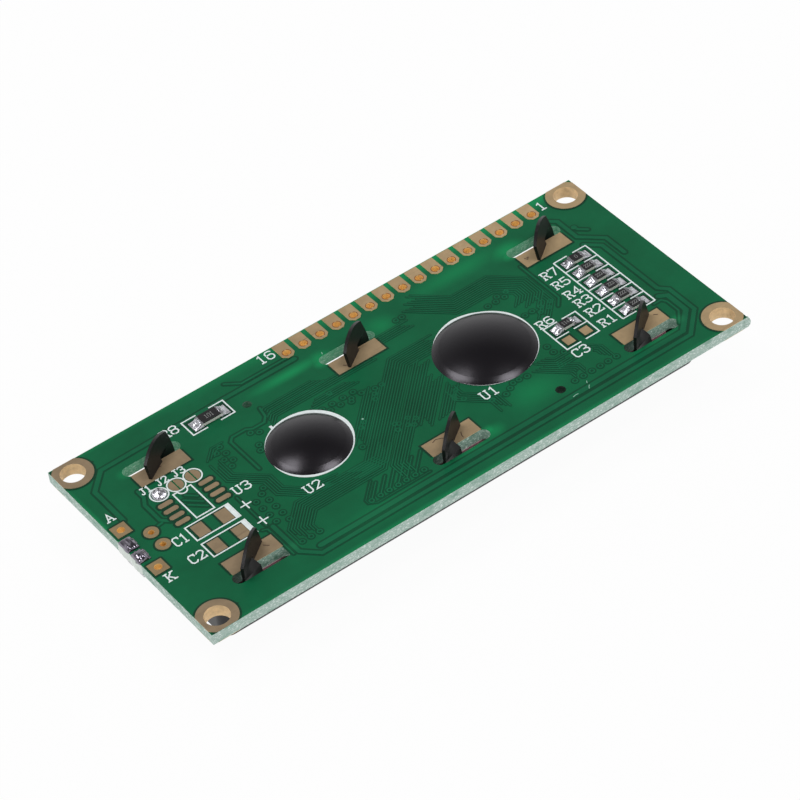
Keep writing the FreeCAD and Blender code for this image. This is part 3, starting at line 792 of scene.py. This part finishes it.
def dome_ring(shapes, node, bare):
    """The printed ring that the epoxy was poured up to, and over in places."""
    low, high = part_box(node)
    middle = (low + high) / 2
    inner = (high.x - low.x) / 2 - RING_LINE / 2
    points, widths = [], []
    for index in range(DOME_STEPS):
        before, share = divmod(index / DOME_STEPS * len(bare), 1)
        before = int(before)
        showing = (bare[before] * (1 - share) + bare[(before + 1) % len(bare)] * share) * MM
        widths.append(RING_LINE + showing)
        points.append(arc_point(middle.x, middle.y, inner + showing / 2, 360 * index / DOME_STEPS))
    shapes.strip(points, widths, closed=True)


silkscreen = FlatShapes(BOARD_TOP, INK_RISE)
print_part_names(silkscreen)
print_outlines(silkscreen)
dome_ring(silkscreen, "epoxy_dome_u1", BARE_U1)
dome_ring(silkscreen, "epoxy_dome_u2", BARE_U2)
silkscreen.box(-15.25, -14.9, 5.6, 6.15)
silkscreen.make("silkscreen", ink, "white_plastic")


# Copper under the green mask. Dark strips are bare gaps, lighter strips on them are tracks.

def islands(name):
    """Lowest and highest corner of every separate solid in a CAD node."""
    mesh = nodes[name].data
    group_of = {}

    def find(key):
        while group_of[key] != key:
            group_of[key] = group_of[group_of[key]]
            key = group_of[key]
        return key

    places = []
    for vertex in mesh.vertices:
        spot = nodes[name].matrix_world @ vertex.co
        places.append(tuple(round(value, 7) for value in spot))
        group_of.setdefault(places[-1], places[-1])
    for polygon in mesh.polygons:
        first = find(places[polygon.vertices[0]])
        for index in polygon.vertices[1:]:
            group_of[find(places[index])] = first
    boxes = {}
    for key in group_of:
        low, high = boxes.setdefault(find(key), (Vector(key), Vector(key)))
        for axis in range(3):
            low[axis] = min(low[axis], key[axis])
            high[axis] = max(high[axis], key[axis])
    return list(boxes.values())


def bevelled_frame(shapes, low, high, cut):
    """A dark line round a pad, with its corners cut off."""
    grow = CLEARANCE / 2
    left, right, bottom, top = low.x - grow, high.x + grow, low.y - grow, high.y + grow
    corners = [
        (left + cut, bottom), (right - cut, bottom), (right, bottom + cut), (right, top - cut),
        (right - cut, top), (left + cut, top), (left, top - cut), (left, bottom + cut),
    ]
    shapes.strip(corners, CLEARANCE, closed=True)


# How far a landing pad's clearance stops before the slot
SLOT_MARGIN = 0.2 * MM


def clear_landing_pad(shapes, low, high):
    """A dark line on the three sides of a pad that don't lie at its slot."""
    grow = CLEARANCE / 2
    shut, opening = low.y - grow, high.y - SLOT_MARGIN
    if low.y < 0:
        shut, opening = high.y + grow, low.y + SLOT_MARGIN
    left, right = low.x - grow, high.x + grow
    shapes.strip([(left, opening), (left, shut), (right, shut), (right, opening)], CLEARANCE)


# Nodes whose pads have a clearance, with the cut at its corners in millimetres
CLEARED = [
    ("tab_landing_pads", 0.05), ("controller_pads", 0.25), ("capacitor_pads", 0.05),
    ("resistor_lands", 0.05), ("backlight_pads", 0.1),
]
ROUND_PADS_FROM_X = -37 * MM

# Mounting holes: their distance from the middle, and the radius of their rings
HOLE_X = 37.5 * MM
HOLE_Y = 15.5 * MM
HOLE_RING_RADIUS = 2.6 * MM

# Limits inside which the rings' clearances are drawn, and the break in a clearance that passes them
DRAWN_TO_X = -BOARD_LEFT - 0.05 * MM
DRAWN_TO_Y = 17.55 * MM
BREAK = 0.6 * MM


def clear_pads(shapes):
    """Bare clearance between the pads and the copper round them. The header pads show none."""
    for name, cut in CLEARED:
        for low, high in islands(name):
            if name == "tab_landing_pads":
                clear_landing_pad(shapes, low, high)
            elif name == "backlight_pads" and low.x > ROUND_PADS_FROM_X:
                middle = (low + high) / 2
                shapes.ring(middle.x, middle.y, (high.x - low.x + CLEARANCE) / 2, CLEARANCE)
            else:
                bevelled_frame(shapes, low, high, cut * MM)
    for low, high in islands("mounting_hole_rings"):
        x, y = math.copysign(HOLE_X, low.x), math.copysign(HOLE_Y, low.y)
        circle = arc(x, y, HOLE_RING_RADIUS + CLEARANCE / 2, 0, 360, 60)
        inside = [spot for spot in circle if abs(spot[0]) < DRAWN_TO_X and abs(spot[1]) < DRAWN_TO_Y]
        steps = range(1, len(inside))
        turn = next((index for index in steps if math.dist(inside[index], inside[index - 1]) > BREAK), 0)
        shapes.strip(inside[turn:] + inside[:turn], CLEARANCE)


def offset_path(points, distance):
    """The same line moved sideways to its left."""
    path = [Vector(point) for point in points]
    moved = []
    for index, here in enumerate(path):
        before = path[index - 1] if index > 0 else None
        after = path[index + 1] if index < len(path) - 1 else None
        moved.append(here + mitre(before, here, after) * distance)
    return moved


# What a track's two dark gaps add to its width, in millimetres, and what a bus's gap adds to its pitch
TRACK_GAPS = 0.5
BUS_GAP = 0.06 * MM


def track(gap, copper, points, width):
    """One track in the poured copper: a lighter line with a dark gap on both sides."""
    gap.strip(in_metres(points), (width + TRACK_GAPS) * MM, taper=True)
    copper.strip(in_metres(points), width * MM, taper=True)


def shortened(path, distance):
    """The same line with both of its ends drawn in, as far as its first and last runs allow."""
    moved = [Vector(point) for point in path]
    for end, beside in ((0, 1), (-1, -2)):
        run = moved[beside] - moved[end]
        moved[end] += run.normalized() * min(distance, 0.7 * run.length)
    return moved


def bus(gap, copper, points, count, side):
    """Parallel tracks side by side on one dark field, with staggered ends."""
    for index in range(count):
        moved = offset_path(in_metres(points), side * TRACK_PITCH * index)
        moved = shortened(moved, STAGGER * (index % 4))
        gap.strip(moved, TRACK_PITCH + BUS_GAP, taper=True)
        copper.strip(moved, TRACK, taper=True)


# Tracks in the pour: points in millimetres, then the width of the track
TRACKS = [
    ([(-37.25, 4.7), (-37.25, 11), (-34.7, 13.65), (-16.6, 13.95), (-6, 13.95)], 0.6),
    ([(-15.1, 16.1), (-13.4, 14.75), (-6.3, 14.75)], 0.3),
    ([(-33.3, 7.6), (-33.3, 6.3), (-33.95, 5.1), (-33.95, 1.8), (-32.9, 0.7)], 0.45),
    ([(-34.8, 1.2), (-34, 1.3)], 0.3),
    ([(-22, -14.27), (32.3, -14.27), (35.05, -11.5), (35.05, -8), (34.1, -7.35)], 0.7),
    ([(-5.2, -13.05), (-12.9, -13.05), (-13.85, -12.5), (-13.85, -11.9), (-11.5, -9.6)], 0.08),
    ([(33.3, 6.5), (34.95, 4.8), (34.95, -6.1), (35.9, -7.2), (35.9, -12.1), (32.6, -15.4), (-22.6, -15.4),
      (-24.5, -13.4), (-24.5, -8)], 0.55),
    ([(32.9, 12.9), (33.6, 12.2), (33.6, 8.2), (36.2, 5.6), (36.2, 1.9)], 0.55),
    ([(34.45, 9.9), (34.6, 9.3), (35.5, 8.4)], 0.4),
    ([(-20.2, 1), (-20.2, 7.1), (-19.6, 7.7), (-17.6, 7.7), (-16.9, 7.2), (-15.2, 7.2),
      (-14.5, 8), (-14.2, 9.6)], 0.3),
    ([(-25, -1.2), (-25, -7.4)], 0.2),
    ([(-25.2, -13.3), (-25.2, -8), (-25.8, -7.7)], 0.2),
    ([(32.8, -8.1), (33.9, -8.1), (34.3, -8.8), (34.3, -11), (32.9, -12.9)], 0.25),
    ([(23.9, -0.4), (24.9, 0.8), (24.9, 8.6)], 0.25),
    ([(-30, 2.7), (-28.3, 1)], 0.3),
    ([(-30, 1.7), (-28.3, 0)], 0.3),
    ([(-29.4, 3.3), (-28.3, 2.2)], 0.3),
]

# Buses: points of the first track, number of tracks, side on which the others lie
BUSES = [
    ([(-20.8, -12.2), (-20.8, -10.9), (-19.1, -9.2), (-8.9, -9.2), (3.7, 3.4), (9, 3.4)], 9, 1),
    ([(-6.4, -11.9), (-6.4, -9.9), (6.1, 2.6)], 6, 1),
    ([(-0.4, -6.9), (5.8, -0.7)], 6, 1),
    ([(-8.3, -4.4), (-1.2, 2.7)], 6, 1),
    ([(-23, 5.4), (-23, 2.4), (-19.8, -0.8), (-19.8, -3.4), (-17.9, -5.3), (-13.8, -5.9)], 5, -1),
    ([(9, 11.8), (13.8, 7), (19.4, 7), (21.2, 5.2), (21.2, 4.4), (19.9, 3.1)], 10, 1),
    ([(17.6, -11.9), (17.6, -11), (14.3, -7.7)], 6, -1),
    ([(19.9, -9.3), (16.9, -9.3), (15.4, -7.8)], 6, -1),
    ([(23.4, -12), (23.4, -9.6), (22.2, -8.4)], 4, 1),
    ([(21.6, -1.6), (24.2, 1), (24.2, 3)], 5, 1),
    ([(-14.6, 6), (-13.5, 7.1), (1.4, 7.1)], 4, 1),
    ([(-14, 7.9), (-13.5, 8.35), (-5.6, 8.35)], 4, 1),
    ([(-9.6, 5.25), (-2.6, 5.25)], 4, 1),
    ([(0.9, -6.7), (5.4, -2.2)], 5, -1),
    ([(-12.6, -6.6), (-8.6, -6.6), (-6.9, -4.9)], 6, -1),
    ([(2.6, 8.9), (8.4, 8.9)], 5, 1),
    ([(5.7, -3.2), (5.7, -4.9), (8.7, -7.9), (8.7, -10.5)], 5, -1),
    ([(-24.2, 6.2), (-22.6, 7.8), (-21, 7.8)], 3, -1),
]

# Plated through holes that the green mask covers
VIA_ROWS = [
    (-12.35, (-23.3, -22.05, -20.8, -13.3, -12, -10.7, -9.4, -8.2, -6.9, -5.6)),
    (-12.35, (17.1, 18.4, 19.7, 21, 22.2, 23.5)),
    (11.1, (7.4, 8.3)),
    (6.1, (19.3, 20.7)),
    (5.45, (17.4, 18.65, 20)),
    (1, (19.8, 20.9, 22.2, 23.7)),
    (0.2, (21.6, 22.9)),
    (4.25, (-8.7, -7.2, -5.6, -4.1)),
    (3.45, (-8, -6.5, -4.9, -3.4)),
    (2.95, (-1.7, -0.7)),
]
VIA_SPOTS = [
    (-6.4, 6), (-3.6, -3.7), (-1.9, -5.4), (-5.2, 3), (-2.3, 2.2), (4.4, -5), (5.2, -5.8),
    (7.6, -8.3), (-21.7, 7.3), (-22.6, 6.6), (-21.7, 5.9), (-22.5, 5.1), (-21.7, 4.4), (-22.4, 3.6),
    (-17.5, 6.8), (-16.6, 6.2), (-17.9, 4.4), (-18.3, 3.5), (-2.8, 1.4), (-7, -1.5), (-6.2, -0.9),
    (-8.8, -4.3), (-22.4, -2.7), (-21.7, -2), (18.3, -5.3), (18.3, -6.6), (19.3, -7.4), (13.3, -7.8),
    (12.2, -7.6), (11.3, -7.6), (10.5, -8.1), (9.5, -8.6), (5.4, -3.9), (4.6, -4.6), (-3.2, -4),
    (-1.8, -3.9), (-1.1, -4.6), (-3.9, -4.8), (-2.5, -4.9), (34.45, 9.9),
]

# Radii and line width of a covered hole
VIA_GAP_RADIUS = 0.55 * MM
VIA_RADIUS = 0.29 * MM
VIA_LINE = 0.18 * MM


def draw_copper():
    gap = FlatShapes(BOARD_TOP, GAP_RISE)
    copper = FlatShapes(BOARD_TOP, COPPER_RISE)
    clearances = FlatShapes(BOARD_TOP, CLEAR_RISE)
    clear_pads(clearances)
    clearances.make("pad_clearances", clearance_green, "solder_mask")
    # Short tracks that rise from the lower row of holes, longer towards the right
    for x in VIA_ROWS[0][1][3:9]:
        reach = 2.2 + 0.12 * (x + 13)
        track(gap, copper, [(x + 0.3, -12.05), (x + reach, -12.35 + reach)], 0.14)
    for points, width in TRACKS:
        track(gap, copper, points, width)
    for points, count, side in BUSES:
        bus(gap, copper, points, count, side)
    spots = [(x, y) for y, row in VIA_ROWS for x in row] + VIA_SPOTS
    # Two staggered columns of holes below the controller's name
    spots += [(-23 + side * 0.7, -3.4 - 0.7 * index) for index, side in enumerate((-1, 1) * 4)]
    for x, y in in_metres(spots):
        gap.disc(x, y, VIA_GAP_RADIUS)
        copper.ring(x, y, VIA_RADIUS, VIA_LINE, 18)
    gap.make("copper_gaps", gap_green, "solder_mask")
    copper.make("copper_tracks", trace_green, "solder_mask")


draw_copper()


# Marks of use

SCUFFS = [
    [(15.2, -14.45), (15.6, -14.35), (15.95, -14.4)], [(17.55, -14.55), (17.7, -14.3), (17.9, -14.1)],
    [(17.95, -13.6), (18.1, -13.35)], [(-2.95, 12.3), (-2.85, 12.6)],
]
SCRAPES = [
    [(-2.15, -9.4), (-1.6, -9.2), (-0.9, -9.5), (-0.4, -9.9)], [(1.45, -10.2), (1.2, -10.7), (1.15, -11.1)],
    [(-0.4, 10.3), (0.1, 10.1), (0.5, 10.25)], [(0.9, 10.2), (1.05, 9.9)], [(-2.2, 8.9), (-1.9, 8.6)],
    [(-29.9, 9.7), (-29.2, 9.3), (-28.8, 9.35)], [(-30.9, 9), (-30.6, 8.6)],
    [(26.2, 9.4), (26.4, 9), (26.7, 9.3), (26.45, 9.35)], [(31.5, -9.6), (31.9, -9.9)],
    [(-27.1, -9.8), (-26.6, -10.3)],
]


def scuff_board():
    """Small pale scratches and one speck of ink on the board, and dark scrapes by the tabs."""
    marks = FlatShapes(BOARD_TOP, INK_RISE)
    for points in SCUFFS:
        marks.strip(in_metres(points), SCUFF_LINE, taper=True)
    marks.disc(-6 * MM, -0.4 * MM, 0.13 * MM)
    marks.make("board_scuffs", scuff, "white_plastic")
    scrapes = FlatShapes(PAD_TOP, MARK_RISE)
    for points in SCRAPES:
        scrapes.strip(in_metres(points), SCRAPE_LINE, taper=True)
    scrapes.make("pad_scrapes", scrape, "gold_plating")


scuff_board()

# Painted shade: brown arcs at the left and right rims of the header holes, where the holes' walls lie in
# shade
HEADER_ROW = 15.5 * MM
HOLE_RIM_RADIUS = 0.555 * MM
HOLE_RIM_LINE = 0.1 * MM
HOLE_RIM_TURNS = [(95, 255), (-65, 60)]


def stain_header_holes():
    rims = FlatShapes(PAD_TOP, MARK_RISE)
    for low, high in islands("header_pads"):
        for start, end in HOLE_RIM_TURNS:
            rim = arc((low.x + high.x) / 2, HEADER_ROW, HOLE_RIM_RADIUS, start, end, 12)
            rims.strip(rim, HOLE_RIM_LINE, taper=True)
    rims.make("header_hole_shade_arcs", header_hole_shade, "gold_plating")


stain_header_holes()


# Lumps: solder heaps, solder run down the edge, and the burr at the corner

RIGHTWARD = Vector((1, 0, 0))
BACKWARD = Vector((0, 1, 0))
FORWARD = Vector((0, -1, 0))
UPWARD = Vector((0, 0, 1))


class Lumps(Shapes):
    """Closed mounds that stand on a plane, each with its own uneven height."""

    smooth = True

    def mound(self, plan, height, columns, rows, across=RIGHTWARD, along=BACKWARD):
        """plan gives the place on the plane for u and v, height the rise above it."""
        start = len(self.points)
        up = across.cross(along).normalized()
        for row in range(rows + 1):
            for column in range(columns + 1):
                u, v = column / columns, row / rows
                self.points.append(plan(u, v) + up * height(u, v))
        rim = [(column, 0) for column in range(columns)]
        rim += [(columns, row) for row in range(rows)]
        rim += [(column, rows) for column in range(columns, 0, -1)]
        rim += [(0, row) for row in range(rows, 0, -1)]
        base = len(self.points)
        for column, row in rim:
            self.points.append(plan(column / columns, row / rows) - up * SINK)

        def top(column, row):
            return start + row * (columns + 1) + column

        for row in range(rows):
            for column in range(columns):
                self.faces.append(
                    [top(column, row), top(column + 1, row), top(column + 1, row + 1), top(column, row + 1)])
        count = len(rim)
        for index in range(count):
            after = (index + 1) % count
            self.faces.append([base + index, base + after, top(*rim[after]), top(*rim[index])])
        self.faces.append([base + index for index in reversed(range(count))])


def swell(u, power=0.5):
    """Zero at both ends and one in the middle, with full shoulders for a small power."""
    return max(0, 4 * u * (1 - u)) ** power


def crease(x, y, scale_x, scale_y, seed):
    """A folded, wrinkled pattern between minus one and one."""
    return noise.noise(Vector((x * scale_x, y * scale_y, seed)))


# Solder on the chip resistors: its reach over the chip, the way on to its land, its margin round the
# land, its rise above the chip, and the share of its run that stays level
JOINT_INSET = 0.3 * MM
JOINT_TO_LAND = 0.6 * MM
LAND_MARGIN = 0.03 * MM
JOINT_RISE = 0.06 * MM
JOINT_LEVEL = 0.3


def chip_joint(lumps, chip, lands, side, seed):
    """Shiny wrinkled solder over one land and the end of its resistor."""
    low, high = chip
    inner = (high.x if side > 0 else low.x) - side * JOINT_INSET
    middle = Vector((inner + side * JOINT_TO_LAND, (low.y + high.y) / 2, PAD_TOP))
    land = min(lands, key=lambda box: ((box[0] + box[1]) / 2 - middle).length)
    outer = (land[1].x if side > 0 else land[0].x) + side * LAND_MARGIN
    bottom, width = land[0].y - LAND_MARGIN, land[1].y - land[0].y + 2 * LAND_MARGIN
    rise = high.z + JOINT_RISE - PAD_TOP

    def plan(u, v):
        run = u if side > 0 else 1 - u
        return Vector((inner + (outer - inner) * run, bottom + v * width, PAD_TOP))

    def height(u, v):
        run = u if side > 0 else 1 - u
        level = 1 if run < JOINT_LEVEL else (1 - (run - JOINT_LEVEL) / (1 - JOINT_LEVEL)) ** 1.3
        rough = crease(u, v, 2.8, 3.4, seed) * 0.45
        return rise * max(0, level * swell(v, 0.25) * (1 + rough * min(1, run * 3)))

    lumps.mound(plan, height, 14, 14)


def round_joint(lumps, x, y, radius, rise, seed):
    """A blob of solder on a round pad."""
    def plan(u, v):
        a, b = 2 * u - 1, 2 * v - 1
        across = radius * a * math.sqrt(1 - b * b / 2)
        return Vector((x + across, y + radius * b * math.sqrt(1 - a * a / 2), PAD_TOP))

    def height(u, v):
        a, b = 2 * u - 1, 2 * v - 1
        reach = a * a + b * b - a * a * b * b
        return rise * max(0, 1 - reach) ** 0.45 * (0.85 + 0.45 * crease(a, b, 1.3, 1.6, seed))

    lumps.mound(plan, height, 22, 22)


def edge_joint(lumps, low_y, high_y, seed):
    """Solder heaped over one folded terminal at the left edge, wrinkled along the edge."""
    left, right = BOARD_LEFT - 0.12 * MM, BOARD_LEFT + 1.6 * MM

    def plan(u, v):
        wave = crease(0, v, 0, 3, seed) * 0.12 * MM
        return Vector((left + (right - left) * u + wave * swell(v), low_y + (high_y - low_y) * v, BOARD_TOP))

    def height(u, v):
        return (0.52 + 0.2 * crease(u, v, 4, 2, seed)) * MM * swell(u, 0.3) * swell(v, 0.24)

    lumps.mound(plan, height, 22, 26)


def edge_run(lumps, low_y, high_y, thickness, seed):
    """Solder run down over the cut edge of the board."""
    drop = 1.6 * MM

    def plan(u, v):
        return Vector((BOARD_LEFT, high_y + (low_y - high_y) * u, BOARD_TOP - drop + drop * v))

    def height(u, v):
        return thickness * (0.7 + 0.6 * crease(u, v, 4, 2, seed)) * swell(u, 0.4) * swell(v, 0.3)

    lumps.mound(plan, height, 26, 12, FORWARD, UPWARD)


def add_solder():
    joints = Lumps()
    lands = islands("resistor_lands")
    for index in range(8):
        for side in (-1, 1):
            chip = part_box("resistor_r" + str(index + 1))
            chip_joint(joints, chip, lands, side, index * 7.3 + side * 2.1)
    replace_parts(joints.make("wrinkled_chip_joints", solder, "solder"), "resistor_solder")
    low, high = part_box("jumper_solder")
    blob = Lumps()
    round_joint(blob, (low.x + high.x) / 2, (low.y + high.y) / 2, 0.97 * MM, 0.5 * MM, 4.4)
    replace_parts(blob.make("wrinkled_jumper_blob", solder, "solder"), "jumper_solder")
    edge = Lumps()
    edge_joint(edge, -0.3 * MM, 1.95 * MM, 1.7)
    edge_joint(edge, -2.7 * MM, -0.7 * MM, 6.2)
    edge_run(edge, -0.4 * MM, 2.2 * MM, 0.3 * MM, 2.9)
    edge_run(edge, -2.9 * MM, -0.5 * MM, 0.42 * MM, 5.1)
    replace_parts(edge.make("wrinkled_edge_joints", terminal_solder, "solder"), "backlight_solder")


add_solder()

# The burr's middle and half size
BURR_MIDDLE = Vector((39.6 * MM, -17.5 * MM, (BOARD_TOP + BOARD_LOW) / 2))
BURR_SIZE = Vector((0.55, 0.5, 0.76)) * MM


def add_corner_burr():
    """Torn glass cloth left at one corner, where the board was snapped from its panel."""
    mesh = bpy.data.meshes.new("corner_burr")
    shape = bmesh.new()
    bmesh.ops.create_icosphere(shape, subdivisions=4, radius=1.0)
    for vertex in shape.verts:
        rough = 1 + 0.16 * noise.noise(vertex.co * 2.4)
        vertex.co = [BURR_MIDDLE[axis] + vertex.co[axis] * BURR_SIZE[axis] * rough for axis in range(3)]
    shape.to_mesh(mesh)
    shape.free()
    place("corner_burr", mesh, cut_edge, smooth=True)


add_corner_burr()

# Number codes of the chips, in the order in which mark_chips takes them
CHIP_CODES = ["101", "114", "0", "222", "222", "222", "222", "222"]


def mark_chips():
    """Number codes on the resistors' dark tops, from left to right and then from top to bottom."""
    tops = sorted(islands("resistor_covers"), key=lambda box: (round(box[0].x, 3), -box[0].y))
    marks = FlatShapes(tops[0][1].z, CODE_RISE)
    for code, (low, high) in zip(CHIP_CODES, tops):
        middle = (low + high) / 2
        height = 0.4 * (high.y - low.y)
        width = 0.6 * height * len(code)
        write(marks, code, middle.x - width / 2, middle.y - height / 2, width, height, CODE_LINE)
    marks.make("chip_codes", code_ink, "ceramic")


mark_chips()


# Camera, at the photograph's viewing angle and distance

CAMERA_PLACE = Vector((-165.075, -275.456, 299.810)) * MM
CAMERA_RIGHT = Vector((0.80244, -0.58844, -0.09912))
CAMERA_FORWARD = Vector((0.37485, 0.62631, -0.68354))
CAMERA_LENS = 163.70


def add_camera():
    """The place is measured from the board's upper face."""
    camera = link_new("camera", bpy.data.cameras.new("camera"))
    up = CAMERA_RIGHT.cross(CAMERA_FORWARD).normalized()
    turn = Matrix((CAMERA_RIGHT, up, -CAMERA_FORWARD)).transposed().to_4x4()
    camera.matrix_world = Matrix.Translation(CAMERA_PLACE + Vector((0, 0, BOARD_TOP))) @ turn
    camera.data.lens = CAMERA_LENS
    camera.data.sensor_width = 36
    camera.data.clip_start = 0.01
    bpy.context.scene.camera = camera


def add_softbox(name, direction, size):
    """A square lamp that faces the middle of the board."""
    lamp = bpy.data.lights.new(name, "AREA")
    lamp.size = size
    lamp.energy = 1.8
    lamp.color = (1, 0.98, 1)
    holder = link_new(name, lamp)
    aim = Vector(direction).normalized()
    holder.location = aim * 0.8
    holder.rotation_euler = aim.to_track_quat("Z", "Y").to_euler()


def set_world():
    """An even pale room: bright towards the table, quieter overhead."""
    world = bpy.data.worlds.new("studio")
    world.use_nodes = True
    tree = world.node_tree
    rise = axes(add(tree, "TexCoord").outputs["Generated"])["Z"]
    ground = times(is_below(rise, 0), 0.4)
    light = ramp(rise, 0, 0.78, 1.15, 0.12)
    fill(tree, tree.nodes["Background"], Color=(1, 1, 1, 1), Strength=minus(light, ground))
    bpy.context.scene.world = world


def mixed_shader(tree, factor, first, second):
    mix = add(tree, "MixShader", Fac=factor)
    connect(tree, mix.inputs[1], first)
    connect(tree, mix.inputs[2], second)
    return mix.outputs["Shader"]


# Half the table's width, and its level just below the part
FLOOR_HALF = 3
FLOOR_LEVEL = -0.02 * MM


def add_floor():
    """A white table, brighter to the camera, and clear from below, so that the display can be seen."""
    mesh = bpy.data.meshes.new("floor")
    corners = [(-1, -1), (1, -1), (1, 1), (-1, 1)]
    mesh.from_pydata([(x * FLOOR_HALF, y * FLOOR_HALF, FLOOR_LEVEL) for x, y in corners], [], [(0, 1, 2, 3)])
    material = bpy.data.materials.new("white_table")
    material.use_nodes = True
    tree = material.node_tree
    tree.nodes.remove(tree.nodes["Principled BSDF"])
    matt = add(tree, "BsdfDiffuse", Color=(0.92, 0.92, 0.92, 1)).outputs["BSDF"]
    glow = add(tree, "Emission", Color=(1, 1, 1, 1), Strength=1).outputs["Emission"]
    clear = add(tree, "BsdfTransparent").outputs["BSDF"]
    rays = add(tree, "LightPath").outputs
    back = add(tree, "NewGeometry").outputs["Backfacing"]
    seen = math_node("MAXIMUM", rays["Is Camera Ray"], rays["Is Glossy Ray"])
    seen = math_node("MAXIMUM", seen, rays["Is Transmission Ray"])
    visible = times(seen, minus(1, back))
    white = mixed_shader(tree, 0.96, matt, glow)
    fill(tree, tree.nodes["Material Output"], Surface=mixed_shader(tree, visible, clear, white))
    mesh.materials.append(material)
    link_new("floor", mesh)


bpy.context.scene.view_settings.view_transform = "Standard"
add_camera()
set_world()
add_floor()
add_softbox("left_softbox", (-0.31, 0.34, 0.89), 0.3)
add_softbox("front_softbox", (0.28, -0.26, 0.93), 0.28)
